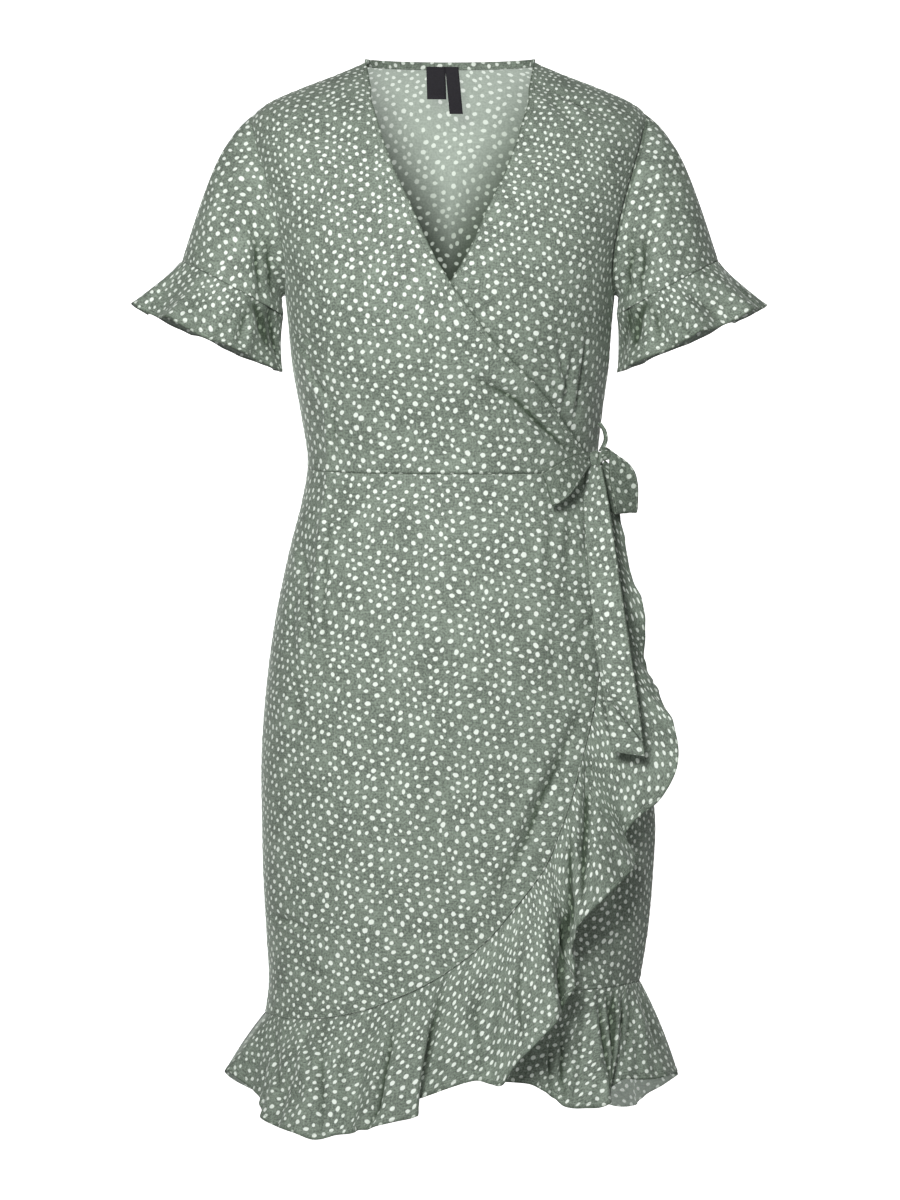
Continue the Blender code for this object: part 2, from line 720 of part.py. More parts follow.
def flounce(name, side, phase):
    columns, rows = POINTS_PER_FLOUNCE_WAVE * FLOUNCE_WAVES, FLOUNCE_ROWS
    centre, outward, downward = cuff_axes(side)
    points = np.zeros((rows + 1, columns, 3))
    for j in range(columns):
        turn = 360 * j / columns
        start = cuff_point(side, turn) + SEAM_GAP * downward
        radial = unit(cuff_point(side, turn) - centre)
        inner = (1 - math.cos(math.radians(turn))) / 2
        wave = math.sin(math.radians(FLOUNCE_WAVES * turn + phase)) * (1 - FLOUNCE_INNER_CALM * inner)
        wave *= 1 - FLOUNCE_OUTER_CALM * (1 - inner) ** 4
        for i in range(rows + 1):
            share = i / rows
            flare = FLOUNCE_FLARE + FLOUNCE_INNER_FLARE * inner + FLOUNCE_SWING * wave
            flare = math.radians(flare) * share**FLOUNCE_CURVE
            length = FLOUNCE_DEPTH * share * (1 - FLOUNCE_SHORTER * inner) * (1 + FLOUNCE_WAVE_DEPTH * wave)
            points[i, j] = start + length * (math.cos(flare) * downward + math.sin(flare) * radial)
    normals = grid_normals(points, ring=True)
    if np.dot(normals[2, 0], outward) < 0:
        normals = -normals
    normals[0] = unit(points[0] - points[0].mean(axis=0))
    return wall(name, points, points - WALL * normals, ring=True)


def seam_places(rows):
    return [(angle_of(across, drop), drop) for across, drop in rows]


def front_skirt_over():
    """Its rows run from the side seam to the curved edge and close to a point at the hem of the side."""
    columns, rows = SKIRT_OVER_SIZE
    right = along_curve(seam_places(SEAM_EDGE), rows)
    top_angles = np.linspace(side_angle(WAIST_SIDE, -1, True), right[0][0], columns)
    top = [(angle, waist_drop(angle) + SEAM_GAP / 2) for angle in top_angles]
    right[0] = top[-1]
    drops = np.linspace(top[0][1], right[-1][1], rows)
    left = [(side_angle(drop, -1, True), drop) for drop in drops]
    right[-1] = left[-1]
    bottom = [left[-1]] * columns
    return panel("skirt_front_over", filled(top, bottom, left, right))


def side_depth(angle):
    """How far the underneath front is sunk: nothing at the wearer's left side seam."""
    return LAYER * ease((90 - angle) / LAYER_FADE)


def under_hem_drop(angle):
    """The ruffle seam of the underneath skirt."""
    return HEM_SEAM_LEFT + UNDER_HEM_DIP * ease((90 - angle) / UNDER_HEM_REACH)


def front_skirt_under():
    columns, rows = SKIRT_UNDER_SIZE
    top_angles = np.linspace(UNDER_INNER_ANGLE, side_angle(WAIST_SIDE, 1, True), columns)
    top = [(angle, waist_drop(angle) + SEAM_GAP / 2) for angle in top_angles]
    hem_angles = np.linspace(UNDER_INNER_ANGLE, side_angle(HEM_SEAM_LEFT, 1, True), columns)
    bottom = [(angle, under_hem_drop(angle)) for angle in hem_angles]
    left = [(UNDER_INNER_ANGLE, drop) for drop in np.linspace(top[0][1], bottom[0][1], rows)]
    drops = np.linspace(top[-1][1], bottom[-1][1], rows)
    right = [(side_angle(drop, 1, True), drop) for drop in drops]
    grid = filled(top, bottom, left, right)
    sunk = np.array([[side_depth(angle) for angle, _ in row] for row in grid])
    return panel("skirt_front_under", grid, sunk)


def back_hem_drop(angle):
    """The ruffle seam of the back skirt; the angle runs from -90 at the right side to -270 at the left."""
    from_right = -90 - angle
    from_left = 270 + angle
    behind = HEM_SEAM_RIGHT - (HEM_SEAM_RIGHT - HEM_SEAM_BACK) * ease(from_right / BACK_HEM_RISE_RIGHT)
    return behind + (HEM_SEAM_LEFT - behind) * ease(1 - from_left / BACK_HEM_RISE_LEFT)


def back_skirt():
    columns, rows = SKIRT_BACK_SIZE
    start = side_angle(WAIST_SIDE, -1, False)
    top = [(angle, WAIST_SIDE + SEAM_GAP / 2) for angle in np.linspace(start, -360 - start, columns)]
    start = side_angle(HEM_SEAM_RIGHT, -1, False)
    bottom = [(angle, back_hem_drop(angle)) for angle in np.linspace(start, -360 - start, columns)]
    left = [(side_angle(d, -1, False), d) for d in np.linspace(top[0][1], bottom[0][1], rows)]
    drops = np.linspace(top[-1][1], bottom[-1][1], rows)
    right = [(-360 - side_angle(d, -1, False), d) for d in drops]
    return panel("skirt_back", filled(top, bottom, left, right))


def hanging(name, seam, seam_normals, edge, flush):
    """A gathered strip: it leaves its seam a little outward and hangs to its free edge. The more an
    edge stands off, the more its strip bows out. The columns in flush end at a side seam."""
    points = np.zeros((RUFFLE_STEPS + 1, len(seam), 3))
    for j, (top, low) in enumerate(zip(seam, edge)):
        stands_off = np.dot(low - top, seam_normals[j])
        swell = SWELL * min(max(stands_off, 0.0), SWELL_LIMIT)
        bend = top + BOW_PLACE * (low - top) + swell * seam_normals[j]
        for i, t in enumerate(np.linspace(0, 1, RUFFLE_STEPS + 1)):
            points[i, j] = (1 - t) ** 2 * top + 2 * t * (1 - t) * bend + t * t * low
    normals = grid_normals(points)
    signs = np.sign(np.einsum("jk,jk->j", normals[1], seam_normals))
    if signs.sum() < 0:
        normals = -normals
    normals[0] = seam_normals
    for j in flush:
        normals[:, j] = unit(normals[:, j] * (1, 0, 1))
    return wall(name, points, points - WALL * normals)


def seam_line(places, out, toward):
    """Points and normals of a strip's first row: the seam's places, moved a gap off on the toward side."""
    bases = np.array([cloth(angle, drop, out(angle)) for angle, drop in places])
    normals = np.array([normal_at(angle, drop) for angle, drop in places])
    ahead = np.gradient(bases, axis=0)
    off = unit(np.cross(normals, ahead))
    if np.dot(off[len(off) // 2], toward) < 0:
        off = -off
    return bases + RUFFLE_GAP * off, normals


def through(rows):
    """More rows, on a smooth curve through a table's own."""
    keys = np.arange(len(rows))
    wanted = np.linspace(0, len(rows) - 1, POINTS_PER_ROW * (len(rows) - 1) + 1)
    return np.array([smooth(keys, rows, key) for key in wanted])


def table_edge(rows):
    """The free edge through a table's rows, with its place along the seam."""
    curve = through(rows)
    return curve[:, 0], curve[:, 1:] * (1, 1, -1)


def ruffle_over():
    along, edge = table_edge(CASCADE)
    places = along_curve(seam_places(SEAM_EDGE), SEAM_POINTS)
    keys = np.linspace(0, 1, SEAM_POINTS)
    chosen = [tuple(smooth(keys, places, CASCADE_START + (1 - CASCADE_START) * share)) for share in along]
    chosen[-1] = (side_angle(chosen[-1][1], -1, True), chosen[-1][1])
    seam, normals = seam_line(chosen, lambda angle: 0.0, np.array([1, 0, -1]))
    edge[-1] += (0, -SEAM_GAP / 2, 0)
    return hanging("ruffle_over", seam, normals, edge, flush=[-1])


def ruffle_under():
    along, edge = table_edge(UNDER_EDGE)
    start = side_angle(HEM_SEAM_LEFT, 1, True)
    angles = [start + (UNDER_INNER_ANGLE - start) * share for share in along]
    places = [(angle, under_hem_drop(angle)) for angle in angles]
    seam, normals = seam_line(places, lambda angle: -side_depth(angle), np.array([0, 0, -1]))
    edge[0] += (0, -SEAM_GAP / 2, 0)
    return hanging("ruffle_under", seam, normals, edge, flush=[0])


def ruffle_back():
    """Evenly waved, with its two ends brought to the hems at the side seams."""
    columns = POINTS_PER_BACK_WAVE * BACK_RUFFLE_WAVES + 1
    start = side_angle(HEM_SEAM_RIGHT, -1, False)
    angles = np.linspace(start, -360 - start, columns)
    places = [(angle, back_hem_drop(angle)) for angle in angles]
    seam, normals = seam_line(places, lambda angle: 0.0, np.array([0, 0, -1]))
    edge = np.zeros_like(seam)
    for j, top in enumerate(seam):
        share = j / (columns - 1)
        drift, rate = BACK_RUFFLE_DRIFT
        wave = math.sin(2 * math.pi * BACK_RUFFLE_WAVES * share + drift * math.sin(rate * share))
        flare = math.radians(BACK_RUFFLE_FLARE + BACK_RUFFLE_SWING * wave)
        hang = math.sin(flare) * normals[j] + math.cos(flare) * np.array([0, 0, -1])
        free = top + BACK_RUFFLE_DEPTH * hang
        for end, at in ((HEM_SIDE_RIGHT, share), (HEM_SIDE_LEFT, 1 - share)):
            hold = 1 - ease(at / BACK_RUFFLE_HOLD)
            across, back, drop = end
            free = (1 - hold) * free + hold * np.array([across, back + SEAM_GAP / 2, -drop])
        edge[j] = free
    return hanging("ruffle_back", seam, normals, edge, flush=[0, -1])


def ribbon(name, rows):
    """A flat band through a table's rows, as two edges joined by a wall."""
    curve = through(rows)
    middle = curve[:, :3] * (1, 1, -1)
    half = curve[:, 3:] * (1, 1, -1)
    points = np.stack([middle - half, middle + half], axis=1)
    along = np.gradient(middle, axis=0)
    normals = unit(np.cross(along, half))
    normals = np.stack([normals, normals], axis=1)
    return wall(name, points + RIBBON_THICKNESS / 2 * normals, points - RIBBON_THICKNESS / 2 * normals)


def knot():
    def make(bm):
        bmesh.ops.create_uvsphere(bm, u_segments=12, v_segments=8, radius=1.0)
        for vertex in bm.verts:
            vertex.co.x *= KNOT_HALF_SIZE[0] * MM
            vertex.co.y *= KNOT_HALF_SIZE[1] * MM
            vertex.co.z *= KNOT_HALF_SIZE[2] * MM
        across, back, drop = KNOT_CENTRE
        bmesh.ops.translate(bm, verts=bm.verts, vec=(across * MM, back * MM, -drop * MM))
        bmesh.ops.triangulate(bm, faces=bm.faces)

    return new_object("tie_knot", make, GREEN)


def build_bodice():
    front_bodice("bodice_front_over", -1, underneath=False)
    front_bodice("bodice_front_under", 1, underneath=True)
    back_bodice()
    neck_binding()
    labels()


def build_sleeves():
    for side, name, phase in ((-1, "right", 0), (1, "left", 180)):
        sleeve(f"sleeve_{name}", side)
        flounce(f"sleeve_flounce_{name}", side, phase)


def build_skirt():
    front_skirt_over()
    front_skirt_under()
    back_skirt()
    ruffle_over()
    ruffle_under()
    ruffle_back()


def build_tie():
    knot()
    ribbon("tie_loop_front", LOOP_FRONT)
    ribbon("tie_loop_side", LOOP_SIDE)
    ribbon("tie_tail_lower", TAIL_LOWER)
    ribbon("tie_tail_upper", TAIL_UPPER)
    ribbon("tie_strap", STRAP)


for leftover in list(bpy.data.objects):
    bpy.data.objects.remove(leftover)
build_bodice()
build_sleeves()
build_skirt()
build_tie()
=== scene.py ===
# %% [markdown]
# # A wrap dress in printed viscose
# A knee-length dress: two fronts that cross over, flounced sleeves, a curved ruffle that runs down the
# wrap edge and round the hem, and a tie with a side bow. It is shown filled out, as if worn. Lengths are
# in millimetres until a mesh is made. A place on the dress is an angle round the body (0 at the centre
# front, 90 at the wearer's left side) with a drop, the distance down from the shoulders.

# %% Load the frame
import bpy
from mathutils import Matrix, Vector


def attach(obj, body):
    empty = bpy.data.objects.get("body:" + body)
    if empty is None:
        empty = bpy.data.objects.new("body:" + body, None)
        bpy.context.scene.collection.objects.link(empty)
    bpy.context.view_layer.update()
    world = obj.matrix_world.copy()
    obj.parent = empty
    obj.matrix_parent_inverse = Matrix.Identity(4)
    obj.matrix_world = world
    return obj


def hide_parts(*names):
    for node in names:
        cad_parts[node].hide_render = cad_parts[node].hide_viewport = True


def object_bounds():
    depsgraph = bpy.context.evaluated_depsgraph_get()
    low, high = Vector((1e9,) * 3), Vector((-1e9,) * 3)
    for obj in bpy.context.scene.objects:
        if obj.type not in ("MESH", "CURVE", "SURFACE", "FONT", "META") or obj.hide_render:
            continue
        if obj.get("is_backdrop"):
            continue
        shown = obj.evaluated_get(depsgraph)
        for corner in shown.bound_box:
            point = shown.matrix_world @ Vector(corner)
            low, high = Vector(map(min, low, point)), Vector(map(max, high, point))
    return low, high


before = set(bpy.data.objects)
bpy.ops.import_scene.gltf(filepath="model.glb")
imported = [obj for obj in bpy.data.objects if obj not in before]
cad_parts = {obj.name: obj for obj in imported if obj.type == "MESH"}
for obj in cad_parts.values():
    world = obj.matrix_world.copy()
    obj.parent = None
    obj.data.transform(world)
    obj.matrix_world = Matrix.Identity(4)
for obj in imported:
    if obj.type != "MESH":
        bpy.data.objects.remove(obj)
cad_box = [list(corner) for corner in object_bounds()]

import math

import bmesh
import bpy
import numpy as np

MM = 0.001
print("nodes to dress:", len(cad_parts))

# %% [markdown]
# ## Camera
# A dress is photographed from far away with a long lens, so that its two sides stay parallel. The lens
# looks level at the middle of the dress.

# %% Camera
CAMERA_AWAY = 6.0
CAMERA_HEIGHT = -0.495
VIEW_HEIGHT = 1.104  # metres that the picture shows from top to bottom, at the middle of the dress
SENSOR = 36.0


def placed(name, data):
    """An object in the scene that shows this data."""
    obj = bpy.data.objects.new(name, data)
    bpy.context.scene.collection.objects.link(obj)
    return obj


camera_data = bpy.data.cameras.new("camera")
camera_data.sensor_width = SENSOR
camera_data.lens = SENSOR * CAMERA_AWAY / VIEW_HEIGHT
camera = placed("camera", camera_data)
camera.location = (0, -CAMERA_AWAY, CAMERA_HEIGHT)
camera.rotation_euler = (math.radians(90), 0, 0)
bpy.context.scene.camera = camera
print("lens:", round(camera_data.lens, 1), "mm")

# %% [markdown]
# ## The filled-out form
# Cloth that is worn takes its shape from what is inside. The form here is a stack of level sections, each
# a rounded oval with its own width and depth. It could be sculpted, but a table of sections keeps every
# size readable, and any seam can then be drawn on it as angles and drops.

# %% Sections of the form, from the shoulders to the ruffle seam
# Each row has a drop, half the width, the depth in front and behind, how far the middle lies to the
# wearer's left, and how square the section is.
SECTIONS = np.array((
    (0, 77, 12, 50, 0, 0.00),
    (12, 105, 28, 62, 0, 0.02),
    (24, 136, 42, 72, 0, 0.05),
    (38, 167, 56, 82, 0, 0.10),
    (50, 181, 66, 89, 0, 0.14),
    (70, 183, 78, 96, 0, 0.18),
    (100, 178, 91, 102, 0, 0.20),
    (135, 169, 102, 104, 0, 0.20),
    (170, 160, 111, 102, 0, 0.17),
    (205, 153, 118, 99, 0, 0.14),
    (240, 149, 120, 96, 0, 0.12),
    (280, 145.5, 113, 91, 0.5, 0.10),
    (325, 138.5, 99, 84, 1.5, 0.09),
    (372, 134, 90, 79, 3, 0.08),
    (405, 141, 92, 87, 4.5, 0.08),
    (440, 150, 98, 100, 4.5, 0.08),
    (480, 158.5, 104, 113, 4, 0.08),
    (520, 166, 108, 121, 4, 0.08),
    (570, 172.5, 111, 125, 4, 0.08),
    (640, 178, 110, 122, 4.5, 0.08),
    (700, 181, 108, 118, 8, 0.08),
    (745, 179.5, 107, 114, 7.5, 0.08),
    (800, 175.5, 106, 110, 6.5, 0.08),
    (850, 170.5, 105, 107, 3.5, 0.08),
    (890, 171, 104, 105, -2, 0.08),
))
WAIST_SIDE = 372.0  # the drop of the waist seam at the sides
NORMAL_TURN = 0.6  # a normal is worked out from points this many degrees and millimetres away
NORMAL_DROP = 1.5
ROUNDS = 12  # enough for an angle to settle


def read_table(keys, values, at):
    """Values of a table at any keys, on a smooth curve through its rows."""
    keys, values, at = (np.asarray(a, float) for a in (keys, values, at))
    slopes = np.gradient(values, keys, axis=0)
    at = np.clip(at, keys[0], keys[-1])
    row = np.clip(np.searchsorted(keys, at) - 1, 0, len(keys) - 2)
    step = keys[row + 1] - keys[row]
    t = (at - keys[row]) / step
    if values.ndim > 1:
        t, step = t[..., None], step[..., None]
    start = (2 * t**3 - 3 * t**2 + 1) * values[row] + (t**3 - 2 * t**2 + t) * step * slopes[row]
    return start + (3 * t**2 - 2 * t**3) * values[row + 1] + (t**3 - t**2) * step * slopes[row + 1]


def section(drop):
    return np.moveaxis(read_table(SECTIONS[:, 0], SECTIONS[:, 1:], drop), -1, 0)


def bare_body(angle, drop):
    half_width, front, back, middle, square = section(drop)
    s, c = np.sin(np.radians(angle)), np.cos(np.radians(angle))
    depth = np.where(c > 0, front, back)
    across = middle + half_width * s * (1 + square * c * c)
    return np.stack([across, -depth * c * (1 + square * s * s), -drop + 0.0 * s], axis=-1)


def unit(vectors):
    return vectors / np.linalg.norm(vectors, axis=-1, keepdims=True)


def normal_at(angle, drop):
    across = bare_body(angle + NORMAL_TURN, drop) - bare_body(angle - NORMAL_TURN, drop)
    low = np.minimum(drop + NORMAL_DROP, SECTIONS[-1, 0])
    high = np.maximum(drop - NORMAL_DROP, 0)
    return unit(np.cross(bare_body(angle, low) - bare_body(angle, high), across))


def angle_of(across, drop):
    """The angle on the front where the section at this drop has this width."""
    half_width, _, _, middle, square = section(drop)
    share = np.clip((across - middle) / half_width, -1, 1)
    s = share
    for _ in range(ROUNDS):
        s = share / (1 + square * (1 - s * s))
    return np.degrees(np.arcsin(np.clip(s, -1, 1)))


turns = np.arange(0, 361, 5.0)
waist = bare_body(turns, np.full(len(turns), WAIST_SIDE))
print("waist round:", round(np.linalg.norm(np.diff(waist, axis=0), axis=1).sum()), "mm")

# %% [markdown]
# ## Folds and creases
# Light cloth never lies perfectly smooth: it breaks into soft folds where it is pulled, as below the bust
# and beside the bow, and it keeps small dents. A simulation would place them by chance. Here each one is
# a short line with a reach and a height, below 0 for a trough, and the cloth is lifted along it.

# %% Large soft folds, the same that the solid form has
# Each row has the angle and the drop of both ends, the reach and the height.
FOLDS = (
    (-53, 300, -54, 372, 11, 2.4),
    (-54, 372, -47, 500, 13, 2.6),
    (-60, 430, -64, 560, 12, -2.4),
    (44, 580, 20, 735, 19, -2.8),
    (50, 540, 33, 700, 17, 1.8),
    (64, 265, 50, 350, 15, -2.0),
    (20, 295, 66, 352, 15, -2.2),
    (10, 262, 64, 335, 15, 1.4),
    (-30, 640, -34, 860, 20, 2.2),
    (150, 300, 146, 372, 11, 2.2),
    (-150, 300, -146, 372, 11, 2.2),
    (150, 372, 146, 480, 13, 2.2),
    (-150, 372, -146, 480, 13, 2.2),
    (180, 330, 178, 372, 16, -2.0),
    (130, 600, 124, 850, 20, 2.4),
    (-128, 620, -122, 860, 20, 2.4),
    (172, 640, 176, 850, 22, -2.2),
)
MM_PER_DEGREE = 2.3
FOLD_ENDS = 0.35  # how much of its height a fold keeps at its ends


def place_of(angle, drop, near=0.0):
    """A place as millimetres round and down, with the angle taken the short way from another one."""
    turned = (np.asarray(angle) - near + 180) % 360 - 180 + near
    return np.stack([turned * MM_PER_DEGREE, np.asarray(drop) + 0.0 * turned], axis=-1)


def hump(away, reach, height=1.0):
    return height * np.exp(-((away / reach) ** 2))


def nearest_on(place, start, run):
    """How far along a straight line the point nearest to each place lies, and the way from it there."""
    share = np.clip((place - start) @ run / (run @ run), 0, 1)
    return share, place - start - share[..., None] * run


def fold_height(angle, drop):
    height = 0.0
    for angle_1, drop_1, angle_2, drop_2, reach, rise in FOLDS:
        start = np.array([angle_1 * MM_PER_DEGREE, drop_1])
        run = np.array([(angle_2 - angle_1) * MM_PER_DEGREE, drop_2 - drop_1])
        share, off = nearest_on(place_of(angle, drop, near=angle_1), start, run)
        swell = FOLD_ENDS + (1 - FOLD_ENDS) * np.sin(np.pi * share)
        height = height + hump(np.linalg.norm(off, axis=-1), reach, rise) * swell
    return height


# %% Fine creases: height, reach, how much of a ridge lies beside it, and the line as (across, drop)
FRONT_CREASES = (
    (-5.0, 4.5, 0.6, (
        (7, 291), (22, 296), (36, 302), (58, 313), (80, 334), (93, 345), (105, 356), (120, 366),
    )),
    (2.2, 8, 0.0, ((8, 281), (34, 289), (60, 304), (88, 328))),
    (-3.0, 3.5, 0.7, ((-131, 286), (-122, 296), (-108, 314))),
    (-3.0, 3.5, 0.8, ((-107, 308), (-106, 340), (-107, 373))),
    (-2.8, 3.2, 0.4, ((-138, 262), (-130, 272), (-126, 292))),
    (-2.4, 3.0, 0.4, ((-146, 250), (-133, 256), (-120, 266))),
    (-1.6, 4, 0.4, ((20, 237), (44, 228))),
    (-2.2, 5, 0.4, ((81, 20), (98, 42), (118, 70))),
    (-2.6, 5, 0.4, ((89, 25), (136, 54))),
    (-1.8, 5, 0.4, ((104, 32), (154, 61))),
    (-1.6, 5, 0.4, ((-90, 25), (-136, 54))),
    (-1.4, 6, 0.4, ((-95, 36), (-154, 79))),
    (-3.0, 3.2, 0.5, ((99, 251), (104, 285), (111, 314))),
    (-2.6, 3.2, 0.5, ((114, 269), (110, 296), (105, 322))),
    (-3.0, 3.4, 0.5, ((127, 255), (123, 290), (118, 330))),
    (-2.2, 3.2, 0.5, ((72, 258), (84, 272), (97, 282))),
    (-2.0, 3.2, 0.5, ((88, 300), (100, 304), (112, 318))),
    (2.6, 5, 0.0, ((-111, 377), (-117, 442), (-121, 500))),
    (-3.4, 3.2, 0.0, ((-106, 377), (-113, 459), (-116, 524), (-114, 560))),
    (-2.8, 6, 0.5, ((-139, 434), (-131, 470), (-128, 520), (-130, 575))),
    (-1.8, 4, 0.6, ((92, 409), (90, 450), (89, 495))),
    (-2.0, 4.5, 0.6, ((110, 412), (107, 450), (105, 486))),
    (-1.8, 4, 0.5, ((125, 405), (122, 459))),
    (-3.0, 3.5, 0.4, ((138, 510), (124, 517), (112, 526))),
    (-4.2, 5, 0.7, (
        (121, 588), (115, 607), (105.5, 626), (93.6, 655), (79, 684), (69.6, 712), (48, 752), (34, 770),
    )),
    (-2.8, 4, 0.5, ((-168, 780), (-141, 789), (-124, 797), (-112, 806))),
    (-2.2, 4, 0.5, ((-142, 828), (-117, 836), (-107, 846))),
    (-1.4, 9, 0.5, ((-60, 150), (-92, 210), (-104, 262))),
    (-1.2, 9, 0.5, ((30, 400), (24, 470))),
    (-1.4, 10, 0.5, ((-40, 420), (-36, 520))),
    (-1.4, 7, 0.5, ((-10, 560), (26, 548))),
    (-1.8, 5, 0.5, ((100, 500), (92, 540), (96, 585))),
    (-1.5, 8, 0.5, ((-146, 500), (-138, 560), (-140, 640))),
    (-1.4, 9, 0.5, ((20, 610), (-10, 680), (-30, 760))),
)
SIDE_AND_BACK_CREASES = (  # these lines are (angle, drop)
    (-1.8, 8, 0.5, ((-100, 240), (-112, 270))),
    (-1.5, 7, 0.5, ((-96, 262), (-108, 300))),
    (-1.8, 8, 0.5, ((100, 236), (114, 266))),
    (-1.4, 7, 0.5, ((97, 260), (108, 302))),
    (-2.2, 9, 0.5, ((-140, 322), (-166, 344), (-196, 350))),
    (-1.8, 8, 0.5, ((132, 318), (150, 338), (172, 342))),
    (1.6, 8, 0.0, ((-130, 396), (-158, 408))),
    (-1.6, 9, 0.5, ((-118, 420), (-140, 448))),
    (-1.6, 9, 0.5, ((120, 418), (138, 446))),
    (-1.4, 8, 0.5, ((-172, 60), (-150, 96))),
    (-1.4, 8, 0.5, ((172, 62), (152, 94))),
    (-1.2, 9, 0.5, ((168, 560), (150, 590))),
    (-1.4, 10, 0.5, ((-150, 540), (-170, 600))),
    (-1.2, 9, 0.5, ((-116, 700), (-134, 760))),
    (-1.2, 9, 0.5, ((110, 640), (120, 720))),
    (-1.3, 10, 0.5, ((190, 700), (196, 800))),
    (-1.0, 7, 0.5, ((-92, 430), (-100, 470))),
    (-1.0, 7, 0.5, ((92, 440), (100, 480))),
)
RIDGE_AWAY = 1.9  # where the ridge beside a crease is highest, in reaches
CREASE_ENDS = 0.15  # how much of its height a crease keeps at its ends
CREASE_FADE = 0.8  # below 1, so that it stays deep until close to them

print("creases in front:", len(FRONT_CREASES), "at the sides and behind:", len(SIDE_AND_BACK_CREASES))


# %% Lift the cloth along its creases, and paint shade into it there
def crease_lift(place, rise, reach, ridge, line):
    """One crease, deepest at its middle, with a low ridge on one side. Places and line are in mm."""
    lengths = np.linalg.norm(np.diff(line, axis=0), axis=1)
    best = np.full(place.shape[:-1], np.inf)
    share, side = np.zeros_like(best), np.zeros_like(best)
    for k, (start, end) in enumerate(zip(line[:-1], line[1:])):
        run = end - start
        t, off = nearest_on(place, start, run)
        away = np.linalg.norm(off, axis=-1)
        nearer = away < best
        best = np.where(nearer, away, best)
        share = np.where(nearer, (lengths[:k].sum() + t * lengths[k]) / lengths.sum(), share)
        side = np.where(nearer, run[0] * off[..., 1] - run[1] * off[..., 0], side)
    profile = hump(best, reach) - hump(best * np.sign(side) - RIDGE_AWAY * reach, reach, ridge)
    return rise * profile * (CREASE_ENDS + (1 - CREASE_ENDS) * np.sin(np.pi * share) ** CREASE_FADE)


def crease_height(angle, drop, creases):
    height = 0.0
    for rise, reach, ridge, line in creases:
        line = np.array([(a * MM_PER_DEGREE, d) for a, d in line], float)
        place = place_of(angle, drop, near=line[0, 0] / MM_PER_DEGREE)
        height = height + crease_lift(place, rise, reach, ridge, line)
    return height


CREASES = [
    (rise, reach, ridge, [(float(angle_of(across, drop)), drop) for across, drop in line])
    for rise, reach, ridge, line in FRONT_CREASES
] + list(SIDE_AND_BACK_CREASES)


def cloth(angle, drop, out=0.0):
    """A point of the dress's outer face, or one that lies further out along its normal."""
    lift = fold_height(angle, drop) + crease_height(angle, drop, CREASES) + out
    return bare_body(angle, drop) + lift[..., None] * normal_at(angle, drop)


CREASE_SHADE = 0.05  # painted shade: how much darker a crease's colour is made, for its depth in mm, squared
CREASE_SHADE_LIMIT = 0.82
SHADE_REACH = 0.6  # the painted dark line is narrower than the crease


# Painted shade for a crease of this height: the deeper it is, the darker its colour is made.
def depth_shade(height):
    return np.clip(CREASE_SHADE * np.minimum(height, 0) ** 2, 0, CREASE_SHADE_LIMIT)


def narrowed(creases):
    return [(rise, SHADE_REACH * reach, 0.0, line) for rise, reach, _, line in creases]


def crease_shade(angle, drop):
    return depth_shade(crease_height(angle, drop, narrowed(CREASES)))


deepest = min(rise for rise, *_ in CREASES)
print("the deepest crease is", -deepest, "mm deep and", float(depth_shade(deepest)), "darker")

# %% [markdown]
# ## Finding the edges
# A sewn edge sinks a little and puckers, and a hemmed edge is three layers thick. Both need to know how
# far each point of a piece is from an edge, measured on the cloth. A vertex group could be painted for
# it. Measuring is exact and follows when a seam moves.


# %% Distances on a piece, and irregular ripples
def border(points, edge):
    return {"top": points[0], "bottom": points[-1], "left": points[:, 0], "right": points[:, -1]}[edge]


def lengths_along(line):
    """How far each point of a line, or each row of a grid, lies from the first one."""
    steps = np.linalg.norm(np.diff(line, axis=0), axis=-1)
    return np.concatenate([np.zeros_like(steps[:1]), np.cumsum(steps, axis=0)])


def distance_to(points, line):
    """How far each point is from a line of points, and how far along the line the nearest one lies."""
    along = lengths_along(line)
    away, place = np.empty(points.shape[:2]), np.empty(points.shape[:2])
    for i, row in enumerate(points):
        square = ((row[:, None] - line[None]) ** 2).sum(axis=-1)
        nearest = square.argmin(axis=1)
        away[i], place[i] = np.sqrt(square[np.arange(len(row)), nearest]), along[nearest]
    return away, place


RIPPLE_WAVES = ((0.72, 0.3), (1.0, 0.5), (1.38, 0.35), (1.9, 0.2))  # shares of its length and height


def ripple(at, length, seed):
    """An irregular wave about this long, between about -1 and 1, the same each run."""
    chance = np.random.default_rng(seed)
    total = 0.0
    for stretch, share in RIPPLE_WAVES:
        phase = chance.uniform(0, 2 * np.pi)
        total = total + share * np.sin(2 * np.pi * at / (length * stretch) + phase)
    return total


def ease(t):
    t = np.clip(t, 0, 1)
    return t * t * (3 - 2 * t)


def graded(length, step, start=(), end=()):
    """Shares from 0 to 1 about a step apart, with closer ones at distances from the start and the end."""
    shares = np.linspace(0, 1, max(2, round(length / step) + 1))
    clear = (shares * length > max(start, default=-1)) & ((1 - shares) * length > max(end, default=-1))
    shares = [*shares[clear], *(d / length for d in start), *(1 - d / length for d in end)]
    return np.unique(np.round(np.clip(shares, 0, 1), 6))


SEWN = (0, 0.8, 1.8, 3.2, 5.0)  # distances from a sewn edge where the cloth needs points
HEMMED = (0, 0.5, 2.4, 4.2, 4.9, 6.2)  # and from a hemmed edge
print("a hem needs points at", HEMMED, "mm from its edge")

# %% [markdown]
# ## Shells of cloth
# Each piece is a grid of points on its outer face. Solidify gives it its thickness, towards the inside,
# and gives the inner faces the second material, the wrong side of the print.

